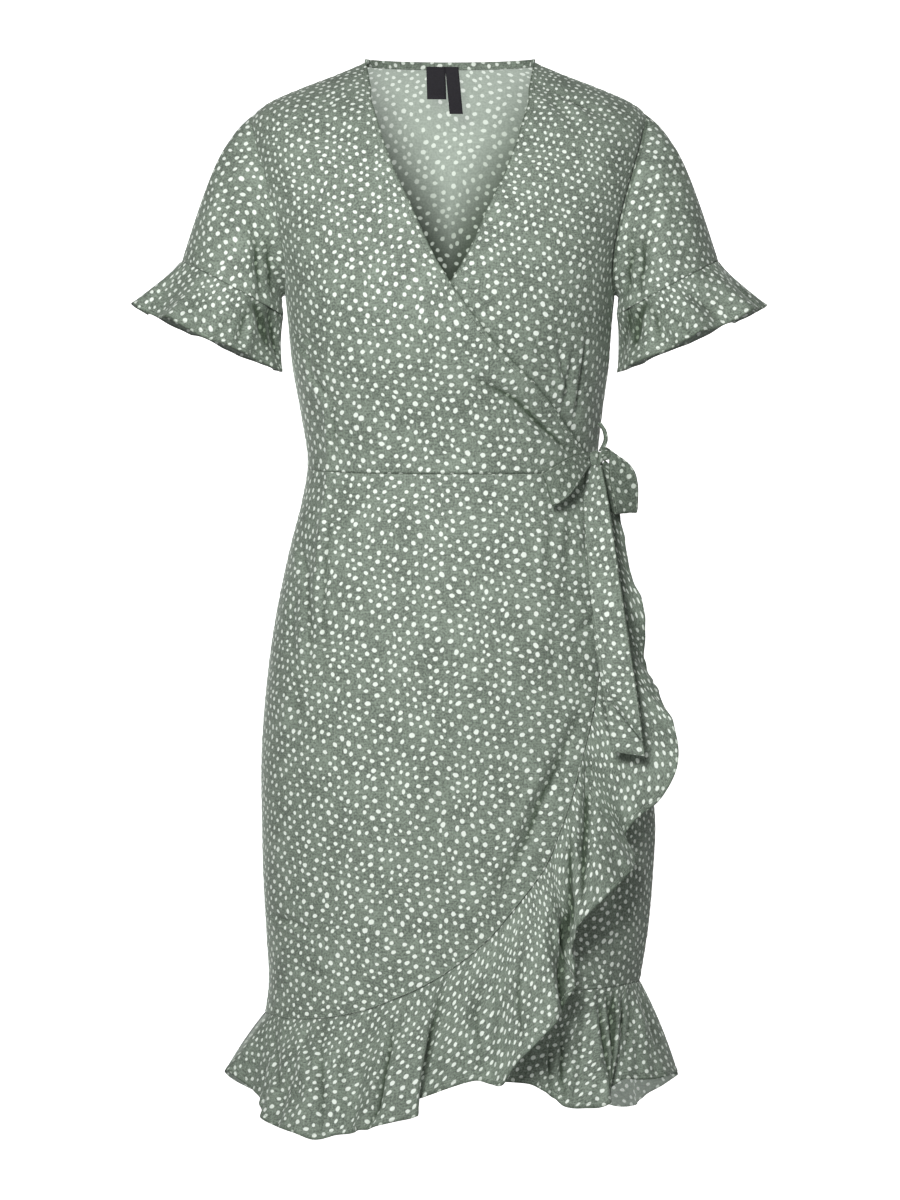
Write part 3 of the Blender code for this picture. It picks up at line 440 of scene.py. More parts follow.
# %% Seam and hem finishes
SEAM_DIP = 0.3
SEAM_DIP_REACH = 1.6
PUCKER_HEIGHT = 0.35
PUCKER_LENGTH = 9.0
PUCKER_START = 3.0  # how far from the seam the puckers reach their full height
PUCKER_FADE = 9.0
HEM_WIDTH = 4.5
HEM_RISE = 0.4
HEM_STEP = 0.9  # over which the three layers of a hem thin to one
HEM_STEP_EARLY = 0.5  # and how far before the row of stitches that starts
STITCH_DIP = (0.7, 0.25)  # reach and depth
SEAM_SHADE = (0.8, 0.5)  # painted shade along a seam: reach, and how dark
FAINT_SEAM = 0.4  # how much of that painted shade a seam without a step has
# Painted shade at a folded edge and along its row of stitches: reach, and how dark
FOLD_SHADE = (1.2, 0.65)
STITCH_SHADE = (0.6, 0.28)


def grid_normals(points, ring=False):
    down = np.gradient(points, axis=0)
    if ring:
        across = np.roll(points, -1, axis=1) - np.roll(points, 1, axis=1)
    else:
        across = np.gradient(points, axis=1)
    normals = np.cross(down, across)
    return normals / np.maximum(np.linalg.norm(normals, axis=-1, keepdims=True), 1e-9)


def seam_lift(points, edge, seed):
    """Sinks the cloth into its seam and puckers it beside the stitches."""
    away, along = distance_to(points, border(points, edge))
    waves = PUCKER_HEIGHT * ripple(along, PUCKER_LENGTH, seed) * np.exp(-away / PUCKER_FADE)
    return waves * ease(away / PUCKER_START) - hump(away, SEAM_DIP_REACH, SEAM_DIP)


def hem_lift(points, edge):
    away, _ = distance_to(points, border(points, edge))
    rise = HEM_RISE * (1 - ease((away - HEM_WIDTH + HEM_STEP_EARLY) / HEM_STEP))
    return rise - hump(away - HEM_WIDTH, *STITCH_DIP)


def seam_shade(away):
    """Painted shade: how much darker the colour is made where the cloth turns down into a seam."""
    return hump(away, *SEAM_SHADE)


def hem_shade(away):
    """The same painted shade at a folded edge, and less along its row of stitches."""
    return hump(away, *FOLD_SHADE) + hump(away - HEM_WIDTH, *STITCH_SHADE)


# Painted shade along the listed edges: the darkest of them at each point.
def edge_shade(points, seams=(), hems=(), faint=()):
    shade = np.zeros(points.shape[:2])
    for edges, look, share in ((seams, seam_shade, 1), (faint, seam_shade, FAINT_SEAM), (hems, hem_shade, 1)):
        for edge in edges:
            shade = np.maximum(shade, share * look(distance_to(points, border(points, edge))[0]))
    return shade


def finish_edges(points, normals, seams=(), hems=(), seed=0):
    lift = np.zeros(points.shape[:2])
    for k, edge in enumerate(seams):
        lift += seam_lift(points, edge, seed + k)
    for edge in hems:
        lift += hem_lift(points, edge)
    return points + lift[..., None] * normals


print("a hem is", HEM_WIDTH, "mm wide, and a seam dips", SEAM_DIP, "mm")

# %% A mesh of one layer from a grid
CLOTH_THICKNESS = 0.7
DOUBLES_WITHIN = 0.02
made = {}  # every piece, by name, with its flat width and length and its area, in metres


def join_doubles(mesh):
    """Joins points that lie together, as where the rows of a piece close to a point."""
    bm = bmesh.new()
    bm.from_mesh(mesh)
    bmesh.ops.remove_doubles(bm, verts=bm.verts, dist=DOUBLES_WITHIN * MM)
    bm.to_mesh(mesh)
    bm.free()


def grid_mesh(name, points, facing, ring=False, flat=None, shade=None):
    """A mesh of one layer. facing holds rough outward directions, and flat the place on the flat cloth."""
    rows, columns = points.shape[:2]
    index = np.arange(rows * columns).reshape(rows, columns)
    after = np.roll(index, -1, axis=1) if ring else index[:, 1:]
    before = index if ring else index[:, :-1]
    faces = np.stack([before[:-1], before[1:], after[1:], after[:-1]], axis=-1).reshape(-1, 4)
    normals = grid_normals(points, ring)
    turned = (normals * facing).sum() < 0
    if turned:
        faces = faces[:, ::-1]
    mesh = bpy.data.meshes.new(name)
    mesh.from_pydata((points.reshape(-1, 3) * MM).tolist(), [], faces.tolist())
    layer = mesh.uv_layers.new(name="flat cloth")
    if flat is not None:
        left, right = flat[:, :-1], flat[:, 1:]
        corners = np.stack([left[:-1], left[1:], right[1:], right[:-1]], axis=-2).reshape(-1, 4, 2)
        if turned:
            corners = corners[:, ::-1]
        layer.data.foreach_set("uv", (corners * MM).astype(np.float32).ravel())
    # shade is the painted shade of each point, stored for the materials to darken the colour.
    if shade is not None:
        layer = mesh.attributes.new("shade", "FLOAT", "POINT")
        layer.data.foreach_set("value", shade.astype(np.float32).ravel())
    mesh.shade_smooth()
    return mesh


# %% Lay a piece flat, as its paper pattern would lie
def measure(mesh):
    """Area and length of the mesh's flat cloth, and its area in space."""
    mesh.calc_loop_triangles()
    uv = np.empty(len(mesh.loops) * 2, np.float32)
    mesh.uv_layers.active.data.foreach_get("uv", uv)
    uv = uv.reshape(-1, 2)
    loops = np.array([t.loops for t in mesh.loop_triangles])
    a, b, c = (uv[loops[:, k]] for k in range(3))
    flat_area = np.abs(np.cross(b - a, c - a)).sum() / 2
    return flat_area, sum(t.area for t in mesh.loop_triangles), uv


def lay_flat(obj, tube):
    """Unwraps a piece as its paper pattern would lie, at its real size and with its length upright."""
    bpy.context.view_layer.objects.active = obj
    obj.select_set(True)
    bpy.ops.object.mode_set(mode="EDIT")
    bpy.ops.mesh.select_all(action="SELECT")
    bpy.ops.uv.unwrap(method="MINIMUM_STRETCH" if tube else "CONFORMAL", margin=0)
    bpy.ops.object.mode_set(mode="OBJECT")
    obj.select_set(False)
    mesh = obj.data
    flat_area, area, uv = measure(mesh)
    heights = np.array([mesh.vertices[loop.vertex_index].co.z for loop in mesh.loops])
    centred = uv - uv.mean(axis=0)
    rise = np.linalg.lstsq(centred, heights - heights.mean(), rcond=None)[0]
    turn = math.atan2(rise[0], rise[1])
    c, s = math.cos(turn), math.sin(turn)
    upright = centred @ np.array([[c, s], [-s, c]]) * math.sqrt(area / flat_area)
    mesh.uv_layers.active.data.foreach_set("uv", upright.astype(np.float32).ravel())


# %% Make one cloth shell
def closed(points):
    """The grid of a ring, with its first column again at the end."""
    return np.concatenate([points, points[:, :1]], axis=1)


def widest(points, ring):
    """The longest row and the longest column of a grid, in metres."""
    rows = closed(points) if ring else points
    across = np.linalg.norm(np.diff(rows, axis=1), axis=-1).sum(axis=1).max()
    down = np.linalg.norm(np.diff(points, axis=0), axis=-1).sum(axis=0).max()
    return across * MM, down * MM


def make_cloth(
    name, points, facing, ring=False, flat=None, thickness=CLOTH_THICKNESS, slots=None, shade=None, cut=None
):
    """cut is the column along which a ring is opened before it is laid flat."""
    mesh = grid_mesh(name, points, facing, ring, flat, shade)
    if cut is not None:
        for edge in mesh.edges:
            edge.use_seam = all(k % points.shape[1] == cut for k in edge.vertices)
    join_doubles(mesh)
    obj = placed(name, mesh)
    if flat is None:
        lay_flat(obj, tube=cut is not None)
    for material in slots or (right_side, wrong_side):
        mesh.materials.append(material)
    wall = obj.modifiers.new("cloth thickness", "SOLIDIFY")
    wall.thickness = thickness * MM
    wall.offset = -1
    wall.material_offset = 1
    _, area, uv = measure(mesh)
    width, length = (uv.max(axis=0) - uv.min(axis=0)) if flat is None else widest(points, ring)
    made[name] = (obj, float(width), float(length), float(area))


def flat_from_grid(points, ring=False, row=0.65):
    """The place on flat cloth of a strip: along the length of one of its rows, and down each column."""
    grid = closed(points) if ring else points
    along = lengths_along(grid[round(row * (len(points) - 1))])
    down = lengths_along(grid)
    return np.stack([np.broadcast_to(along, down.shape), -down], axis=-1)


def show_last(count):
    """Prints the flat width, the length and the area of the last pieces made."""
    print({name: [round(size, 3) for size in made[name][1:]] for name in list(made)[-count:]})


print("cloth is", CLOTH_THICKNESS, "mm thick")

# %% [markdown]
# ## The print
# The cloth is a soft sage green viscose, printed with small white dots. They are slightly oval, turned
# any way and spread at random, but never far apart. Scattered discs would be thousands of objects. A
# Voronoi texture does it in the material: it has one random centre in each cell, and the distance to that
# centre, measured in a stretched and turned frame, draws an oval. The pattern lies on the flat cloth, so
# every piece carries it as if it were cut from one length.

# %% A short way to add shader nodes
def plug(tree, value, socket):
    """Gives a socket a value, or a link from another socket."""
    if isinstance(value, bpy.types.NodeSocket):
        tree.links.new(value, socket)
    else:
        socket.default_value = value


def add(tree, kind, inputs=(), **settings):
    """Adds a node. inputs is a dict from the name or number of a socket to a value or another socket."""
    node = tree.nodes.new(kind)
    for key, value in settings.items():
        setattr(node, key, value)
    for key, value in dict(inputs).items():
        plug(tree, value, node.inputs[key])
    return node


def maths(tree, operation, *values):
    return add(tree, "ShaderNodeMath", dict(enumerate(values)), operation=operation).outputs[0]


def vector(tree, operation, *values):
    return add(tree, "ShaderNodeVectorMath", dict(enumerate(values)), operation=operation).outputs[0]


def turned_by(tree, place, angle):
    inputs = {"Vector": place, "Angle": angle}
    return add(tree, "ShaderNodeVectorRotate", inputs, rotation_type="Z_AXIS").outputs[0]


def step_between(tree, value, start, end, first, last):
    """first up to start and last from end on, with a smooth change between."""
    inputs = {"Value": value, 1: start, 2: end, 3: first, 4: last}
    return add(tree, "ShaderNodeMapRange", inputs, interpolation_type="SMOOTHSTEP").outputs[0]


def streaks(tree, place, across, along, detail=2.0):
    """Noise drawn out along one thread direction, between 0 and 1."""
    drawn = vector(tree, "MULTIPLY", place, (across, along, 1.0))
    return add(tree, "ShaderNodeTexNoise", {"Vector": drawn, "Scale": 1.0, "Detail": detail}).outputs["Fac"]


def mixture(tree, *parts):
    """A sum of sockets, each times its share."""
    (first, share), *others = parts
    total = maths(tree, "MULTIPLY", first, share)
    for socket, share in others:
        total = maths(tree, "MULTIPLY_ADD", socket, share, total)
    return total


def blended(tree, share, first, second):
    """A colour between two others: the first at a share of 0, the second at 1."""
    node = add(tree, "ShaderNodeMix", {"Factor": share}, data_type="RGBA")
    for value, socket in zip((first, second), [s for s in node.inputs if s.type == "RGBA"]):
        plug(tree, value, socket)
    return [s for s in node.outputs if s.type == "RGBA"][0]


def new_material(name, inputs):
    """A material, with its tree and its shader."""
    material = bpy.data.materials.new(name)
    material.use_nodes = True
    shader = material.node_tree.nodes["Principled BSDF"]
    for key, value in inputs.items():
        shader.inputs[key].default_value = value
    return material, material.node_tree, shader


def add_bump(tree, shader, height, strength, distance):
    bump = add(tree, "ShaderNodeBump", {"Height": height, "Strength": strength, "Distance": distance})
    plug(tree, bump.outputs[0], shader.inputs["Normal"])


# %% Dots as a function of the place on the cloth
DOT_SPACING = 0.0094  # between neighbours
DOT_RADIUS = 0.00192
DOT_SCATTER = 0.42
DOT_TURN = math.radians(19)  # between the rows of dots and the weft
DOT_DRIFT = 0.011
DRIFT_SCALE = 24.0
DOT_STRETCH = 0.34  # how much longer than wide the longest dots are
DOT_WIDTH, DOT_LENGTH = 0.92, 0.95  # the higher, the smaller the dots
DOT_WOBBLE = 0.10  # how uneven the edge of a dot is
WOBBLE_SCALE = 480.0
SIZE_SPREAD = 0.06
SIZE_MORE = 0.02  # makes up for what the uneven edge takes away
ROW_HEIGHT = math.sqrt(3) / 2


def dot_mask(tree, place, softness):
    """1 on a dot and 0 between. The cells lie on a slanted grid, so that a dot has six near neighbours."""
    drift = add(tree, "ShaderNodeTexNoise", {"Vector": place, "Scale": DRIFT_SCALE, "Detail": 0.0})
    drift = vector(tree, "SUBTRACT", drift.outputs["Color"], (0.5, 0.5, 0.5))
    drift = vector(tree, "MULTIPLY", drift, (DOT_DRIFT, DOT_DRIFT, 0.0))
    rows = turned_by(tree, vector(tree, "ADD", place, drift), DOT_TURN)
    flat = add(tree, "ShaderNodeSeparateXYZ", {0: rows})
    row = maths(tree, "DIVIDE", flat.outputs[1], DOT_SPACING * ROW_HEIGHT)
    column = maths(tree, "MULTIPLY_ADD", row, -0.5, maths(tree, "DIVIDE", flat.outputs[0], DOT_SPACING))
    slanted = add(tree, "ShaderNodeCombineXYZ", {0: column, 1: row}).outputs[0]
    cells = add(tree, "ShaderNodeTexVoronoi", {
        "Vector": slanted, "Scale": 1.0, "Randomness": DOT_SCATTER,
    }, voronoi_dimensions="2D", feature="F1")
    chance = add(tree, "ShaderNodeSeparateColor", {0: cells.outputs["Color"]})
    off = vector(tree, "SUBTRACT", slanted, cells.outputs["Position"])
    off = add(tree, "ShaderNodeSeparateXYZ", {0: off})
    away = add(tree, "ShaderNodeCombineXYZ", {
        0: maths(tree, "MULTIPLY_ADD", off.outputs[1], 0.5, off.outputs[0]),
        1: maths(tree, "MULTIPLY", off.outputs[1], ROW_HEIGHT),
    }).outputs[0]
    turned = turned_by(tree, away, maths(tree, "MULTIPLY", chance.outputs[0], math.pi))
    width = maths(tree, "MULTIPLY_ADD", chance.outputs[1], DOT_STRETCH, DOT_WIDTH)
    stretch = add(tree, "ShaderNodeCombineXYZ", {0: width, 1: DOT_LENGTH, 2: 0.0}).outputs[0]
    oval = vector(tree, "MULTIPLY", turned, stretch)
    length = add(tree, "ShaderNodeVectorMath", {0: oval}, operation="LENGTH").outputs["Value"]
    wobble = add(tree, "ShaderNodeTexNoise", {"Vector": place, "Scale": WOBBLE_SCALE, "Detail": 1.0})
    rough = maths(tree, "MULTIPLY_ADD", wobble.outputs["Fac"], DOT_WOBBLE, length)
    size = maths(tree, "MULTIPLY_ADD", chance.outputs[2], SIZE_SPREAD, DOT_RADIUS / DOT_SPACING + SIZE_MORE)
    return step_between(tree, maths(tree, "SUBTRACT", size, rough), -softness, softness, 0.0, 1.0)


print("dots to the metre:", round(1 / DOT_SPACING))

# %% Painted light and shade inside the dress, as functions of the place on it
SHADE_DARKENS = (0.87, 0.81, 0.89)  # how much the painted shade darkens each colour at a shade of 1, so that dark cloth turns greener
# Inside the neck the cloth is darkened with painted shade, and a painted glow, emission, stands in for light
# that comes through one layer at the back neck and at the hem.
NECK_DIM = 0.93
DOTS_IN_NECK = 0.5  # how much the dots glow, as painted light, where the cloth inside the neck is darkened with painted shade
DIM_UP = (-0.34, -0.24)  # painted shade: none below the first height, and full above the second
DIM_ACROSS = (0.10, 0.13)  # and full up to the first distance from the middle, none past the second
NECK_GLOW_UP, NECK_GLOW_ACROSS = -0.5, 0.72  # how fast the painted glow of the back neck fades down and across
NECK_GLOW = (0.042, 0.104)
# painted glow at the hem: strong below the first height, gone above the second
HEM_GLOW = (-0.945, -0.92, 0.3, 0.0)


def painted_light_inside(tree):
    """Painted shade inside the neck, and a painted glow that stands in for light coming through one layer at
    the back neck and hem.
    """
    at = add(tree, "ShaderNodeSeparateXYZ", {0: add(tree, "ShaderNodeTexCoord").outputs["Object"]})
    across, up = maths(tree, "ABSOLUTE", at.outputs[0]), at.outputs[2]
    high = step_between(tree, up, *DIM_UP, 0.0, 1.0)
    dim = maths(tree, "MULTIPLY", high, step_between(tree, across, *DIM_ACROSS, 1.0, 0.0))
    reach = mixture(tree, (across, NECK_GLOW_ACROSS), (up, NECK_GLOW_UP))
    neck = maths(tree, "MULTIPLY", step_between(tree, reach, *NECK_GLOW, 1.0, 0.0), dim)
    return maths(tree, "MULTIPLY", dim, NECK_DIM), maths(tree, "ADD", neck, step_between(tree, up, *HEM_GLOW))


# %% The right and the wrong side of the cloth
STREAKS = {  # how many to the metre, across and along the cloth, and how finely they break up
    "weft": (60.0, 900.0, 2.0),
    "warp": (1000.0, 80.0, 2.0),
    "grain": (520.0, 520.0, 3.0),
    "cloud": (34.0, 34.0, 2.0),
    "crinkle": (150.0, 150.0, 3.0),
}
TONES = (0.42, 0.58)  # the tone at which the ground is darkest, and lightest
GLOW_GROUND = ((0.335, 0.38, 0.338, 1), (0.41, 0.46, 0.412, 1))  # colours of the painted glow of the ground, as if lit from behind, dark and light
GLOW_DOT = (0.70, 0.74, 0.70, 1)
CLOTH_SHADER = {
    "Roughness": 0.68, "Specular IOR Level": 0.32,
    "Sheen Roughness": 0.42, "Sheen Tint": (0.86, 0.95, 0.86, 1),
}


def cloth_material(name, light, dark, dot, dot_share, softness, sheen, paints_glow=False):
    material, tree, shader = new_material(name, {**CLOTH_SHADER, "Sheen Weight": sheen})
    place = add(tree, "ShaderNodeUVMap", uv_map="flat cloth").outputs[0]
    dots = dot_mask(tree, place, softness)
    noise = {kind: streaks(tree, place, *row) for kind, row in STREAKS.items()}
    slub = mixture(tree, (noise["weft"], 0.55), (noise["warp"], 0.45))
    tone = mixture(tree, (slub, 0.3), (noise["cloud"], 0.2), (noise["grain"], 0.5))
    spread = add(tree, "ShaderNodeMapRange", {"Value": tone, 1: TONES[0], 2: TONES[1]}).outputs[0]
    ground = blended(tree, spread, dark, light)
    colour = blended(tree, maths(tree, "MULTIPLY", dots, dot_share), ground, dot)
    # The painted shade of each piece darkens its colour at creases, seams, hems, overlaps and the folds of
    # the bow.
    shade = add(tree, "ShaderNodeAttribute", attribute_name="shade").outputs["Fac"]
    # Inside the neck and at the hem: painted shade, and a painted glow as emission.
    if paints_glow:
        dim, painted_glow = painted_light_inside(tree)
        shade = maths(tree, "MAXIMUM", shade, dim)
        glow_colour = blended(tree, dots, blended(tree, spread, *GLOW_GROUND), GLOW_DOT)
        dot_glow = maths(tree, "MULTIPLY", maths(tree, "MULTIPLY", dots, dim), DOTS_IN_NECK)
        plug(tree, glow_colour, shader.inputs["Emission Color"])
        plug(tree, maths(tree, "MAXIMUM", painted_glow, dot_glow), shader.inputs["Emission Strength"])
    left = vector(tree, "MULTIPLY_ADD", shade, tuple(-d for d in SHADE_DARKENS), (1.0, 1.0, 1.0))
    plug(tree, vector(tree, "MULTIPLY", colour, left), shader.inputs["Base Color"])
    relief = mixture(tree, (slub, 0.4), (noise["crinkle"], 1.1), (noise["grain"], 0.3))
    add_bump(tree, shader, relief, strength=0.45, distance=0.0009)
    return material


right_side = cloth_material(
    "printed viscose, right side", light=(0.262, 0.319, 0.258, 1), dark=(0.112, 0.137, 0.110, 1),
    dot=(0.82, 0.88, 0.81, 1), dot_share=0.97, softness=0.035, sheen=0.28,
)
# The wrong side also gets the painted shade and the painted glow inside the neck and at the hem.
wrong_side = cloth_material(
    "printed viscose, wrong side", light=(0.30, 0.345, 0.302, 1), dark=(0.205, 0.236, 0.206, 1),
    dot=(0.84, 0.89, 0.84, 1), dot_share=0.92, softness=0.05, sheen=0.2, paints_glow=True,
)
print("materials:", right_side.name, "/", wrong_side.name)

# %% [markdown]
# ## Bodice
# Two fronts cross over at the bust, and one back closes the form. A maker cuts each from its own pattern
# piece and joins them at the shoulders and the sides. Each grid here runs from its side seam to its wrap
# edge. The wearer's right front lies on top, and the other sinks under it.

# %% Edges of the bodice, as places on the form
WAIST_DIP = 9.0
SHOULDER_DROP = 47.0
UNDERARM_DROP = 215.0
ARMHOLE_FRONT = 22.0
ARMHOLE_BACK = 26.0
SEAM_HALF_GAP = 0.05
ROW_FADE = 2.5
GRID_STEP = 2.8
LAYER = 3.0
LAYER_FADE = 16.0
SHOULDER_FADE = 0.16
BORDER_ROWS = 181
SEAM_SHARE = 0.39  # of these rows, the share below the armhole
# The wrap edge of both fronts, from the shoulder to the waist: across and drop.
WRAP_EDGE = np.array((
    (-77, 0), (-76.8, 0.6), (-76.6, 2), (-76.2, 4.5), (-75.5, 8.5), (-74.4, 14), (-73, 22), (-70, 45),
    (-60, 79), (-49, 108), (-37, 133), (-25, 161), (-13, 186), (-1, 206), (22, 238), (45, 267), (68, 290),
    (91, 315), (109, 339), (124, 360), (131, 372.5),
), float)


def side_angle(drop, side, front):
    """The side seam or shoulder seam, half a seam gap to the front or to the back of the side."""
    _, front_depth, back_depth, _, square = section(drop)
    depth = (front_depth if front else back_depth) * (1 + square)
    gap = np.degrees(SEAM_HALF_GAP / depth)
    return side * (90 - gap if front else 90 + gap)


# %% Lines and grids of places on the form
def side_line(drops, side, front):
    return np.column_stack([side_angle(drops, side, front), drops])


def across_back(places):
    """The same border on the wearer's left, where the angles behind run on to -270."""
    return np.column_stack([-360 - places[:, 0], places[:, 1]])


def waist_line(angles, gap):
    """Places along the waist seam, which dips in front, a gap below it."""
    drops = WAIST_SIDE + WAIST_DIP * np.maximum(0, np.cos(np.radians(angles))) ** 0.7
    return np.column_stack([angles, drops + gap])


def by_index(places, shares):
    places = np.asarray(places, float)
    keys = np.linspace(0, 1, len(places))
    return np.stack([np.interp(shares, keys, places[:, k]) for k in (0, 1)], axis=-1)


def by_distance(line, step):
    """The same line with points a step apart."""
    lengths = lengths_along(line)
    at = np.arange(0, lengths[-1], step)
    return np.stack([np.interp(at, lengths, line[:, k]) for k in range(3)], axis=-1)


def by_length(places, shares):
    """Places spread by their share of the length along a line of them."""
    places = np.asarray(places, float)
    lengths = lengths_along(bare_body(places[:, 0], places[:, 1]))
    return read_table(lengths, places, np.asarray(shares) * lengths[-1])


def filled(first, last, left, right, u, v):
    """A grid of places that fills four borders, at shares u across and v down."""
    first, last, left, right = (np.asarray(b, float) for b in (first, last, left, right))
    u, v = u[None, :, None], v[:, None, None]
    bow_first = first[None] - (1 - u) * first[0] - u * first[-1]
    bow_last = last[None] - (1 - u) * last[0] - u * last[-1]
    across = (1 - u) * left[:, None] + u * right[:, None]
    return across + (1 - v) ** ROW_FADE * bow_first + v**ROW_FADE * bow_last


def armhole(side, turn):
    """A place on the armhole seam: turn 0 at the shoulder, 90 at the front, 180 under the arm, 270 behind."""
    reach = np.where(turn <= 180, ARMHOLE_FRONT, ARMHOLE_BACK)
    angle = 90 - reach * np.sin(np.radians(turn))
    middle, half = (SHOULDER_DROP + UNDERARM_DROP) / 2, (UNDERARM_DROP - SHOULDER_DROP) / 2
    return side * angle, middle - half * np.cos(np.radians(turn))


def side_border(side, front):
    """Up the side seam and the armhole, from the waist to the shoulder."""
    seam_rows = round(BORDER_ROWS * SEAM_SHARE)
    drops = np.linspace(WAIST_SIDE - SEAM_HALF_GAP, UNDERARM_DROP, seam_rows)
    turns = np.linspace(180, 0, BORDER_ROWS - seam_rows + 1)[1:]
    angles, falls = armhole(side, turns if front else 360 - turns)
    angles[-1] = side_angle(falls[-1], side, front)
    return np.concatenate([side_line(drops, side, front), np.column_stack([angles, falls])])


def dressed(places, seed, sunk=0.0, seams=(), hidden=(), faint=(), hems=()):
    """Points, outward directions and painted shade of a piece at these places. A hidden seam gives no painted
    shade.
    """
    angle, drop = places[..., 0], places[..., 1]
    facing = normal_at(angle, drop)
    points = finish_edges(cloth(angle, drop, -sunk), facing, (*seams, *hidden, *faint), hems, seed)
    return points, facing, np.maximum(edge_shade(points, seams, hems, faint), crease_shade(angle, drop))


print("armhole:", round(UNDERARM_DROP - SHOULDER_DROP), "mm deep")

# %% The two fronts
BODICE_LENGTH = 375.0  # this and the other rough sizes of panels only set how many points their grids get
FRONT_WIDTH = 230.0
WRAP_SHADE = (1.8, 0.55)  # painted shadow on the front underneath, along the other one's edge: reach, and how dark


def front_bodice(name, side, underneath, step):
    u = graded(FRONT_WIDTH, step, start=SEWN, end=HEMMED)
    v = graded(BODICE_LENGTH, step, start=SEWN, end=SEWN)
    left = by_index(side_border(side, True), v)
    wrap = WRAP_EDGE[::-1]
    right = by_length(np.column_stack([angle_of(-side * wrap[:, 0], wrap[:, 1]), wrap[:, 1]]), v)
    right[-1] = (side_angle(0.0, side, True), 0.0)
    bottom = waist_line(left[0, 0] + (right[0, 0] - left[0, 0]) * u, -SEAM_HALF_GAP)
    right[0], left[0] = bottom[-1], bottom[0]
    top = side_line(SHOULDER_DROP * (1 - u), side, True)
    places = filled(bottom, top, left, right, u, v)
    sunk = 0.0
    if underneath:
        from_side = np.abs(left[0, 0] - places[..., 0]) / LAYER_FADE
        sunk = LAYER * ease(from_side) * ease((1 - v)[:, None] / SHOULDER_FADE)
    points, facing, shade = dressed(
        places, 11 + side, sunk, seams=("left", "top"), faint=("bottom",), hems=("right",)
    )
    if underneath:  # the other front's edge lies on this one, and a painted shadow runs along it
        line = np.column_stack([WRAP_EDGE[:, 0], 0 * WRAP_EDGE[:, 0], -WRAP_EDGE[:, 1]])
        away, _ = distance_to(points * (1, 0, 1), by_distance(line, step=1.5))
        shade = np.maximum(shade, hump(away, *WRAP_SHADE))
    make_cloth(name, points, facing, shade=shade)
    return points, facing


wrap_edge_over = front_bodice("front_over", -1, underneath=False, step=1.9)
wrap_edge_under = front_bodice("front_under", 1, underneath=True, step=2.2)
show_last(2)

# %% The back, with its straight neckline
BACK_NECK_DROP = 2.0
BACK_NECK_RISE = 18.0
NECK_POINTS = 50
SHOULDER_LENGTH = 100.0
BACK_WIDTH = 330.0


def neck_place(share):
    """Across the back neck from the wearer's right (0) to the left (1)."""
    angle = -90 - 180 * np.asarray(share, float)
    from_seam = np.minimum(abs(angle + 90), abs(angle + 270))
    return angle, BACK_NECK_DROP * np.minimum(1, from_seam / BACK_NECK_RISE)


def back_bodice():
    v = graded(BODICE_LENGTH, GRID_STEP, start=SEWN, end=SEWN)
    shares = graded(SHOULDER_LENGTH, GRID_STEP, start=SEWN)[:-1]
    left = by_index(side_border(-1, False), v)
    right = across_back(left)
    seam = side_line(SHOULDER_DROP * (1 - shares), -1, False)
    neck = np.column_stack(neck_place(np.linspace(0, 1, NECK_POINTS)))
    neck[0, 0] = side_angle(0.0, -1, False)
    neck[-1, 0] = -360 - neck[0, 0]
    top = np.concatenate([seam, neck, across_back(seam[::-1])])
    u = np.linspace(0, 1, len(top))
    for k, d in enumerate(SEWN[1:]):
        u[k + 1], u[-k - 2] = d / BACK_WIDTH, 1 - d / BACK_WIDTH
    angles = left[0, 0] + (right[0, 0] - left[0, 0]) * u
    bottom = np.column_stack([angles, np.full(len(top), WAIST_SIDE - SEAM_HALF_GAP)])
    places = filled(bottom, top, left, right, u, v)
    points, facing, shade = dressed(places, seed=21, seams=("left", "right", "bottom", "top"))
    make_cloth("back", points, facing, shade=shade)


back_bodice()
show_last(1)

# %% [markdown]
# ## Skirt
# The top front crosses from the wearer's right side seam to the tie and is cut away in a long curve. Its
# rows run across to that curve. The front underneath and the back end at the level ruffle seam.

# %% The front skirt on top
HEM_SEAM_RIGHT = 874.0
HEM_SEAM_BACK = 848.0
HEM_SEAM_LEFT = 845.0
UNDER_INNER_ANGLE = -26.0
SKIRT_LENGTH = 480.0
OVER_WIDTH, OVER_LENGTH = 300.0, 900.0
OVER_STEPS = (2.4, 3.0)
UNDER_WIDTH = 290.0
BACK_SKIRT_WIDTH = 590.0
BACK_SKIRT_STEP = 4.2
SEAM_CLEAR = (790.0, 50.0, 0.2)  # the painted shade along the ruffle's seam is full only near the hem: drop, reach, share above it
UNDER_HEM_FALL = (5.0, 60.0)  # how much lower the hem underneath gets, over how many degrees
BACK_HEM_TURNS = (70.0, 60.0)  # degrees over which the back hem leaves each side's height
# The curved front edge of the top skirt, from the tie to the right side: across and drop.
SEAM_EDGE = np.array((
    (136.5, 374), (139.5, 415), (140, 460), (139.5, 500), (137.5, 540), (133.5, 577), (126, 617),
    (115, 662), (102, 701), (87, 737), (71, 759), (54, 780), (37, 800), (22, 813.5), (7, 825),
    (-9, 836), (-27, 846), (-52, 857), (-75, 866), (-100, 872), (-125, 875.5), (-150, 876), (-165, 874),
), float)
SEAM_PLACES = np.column_stack([angle_of(SEAM_EDGE[:, 0], SEAM_EDGE[:, 1]), SEAM_EDGE[:, 1]])


def down(start, end, shares):
    """Drops from one place to another."""
    return start[1] + (end[1] - start[1]) * shares


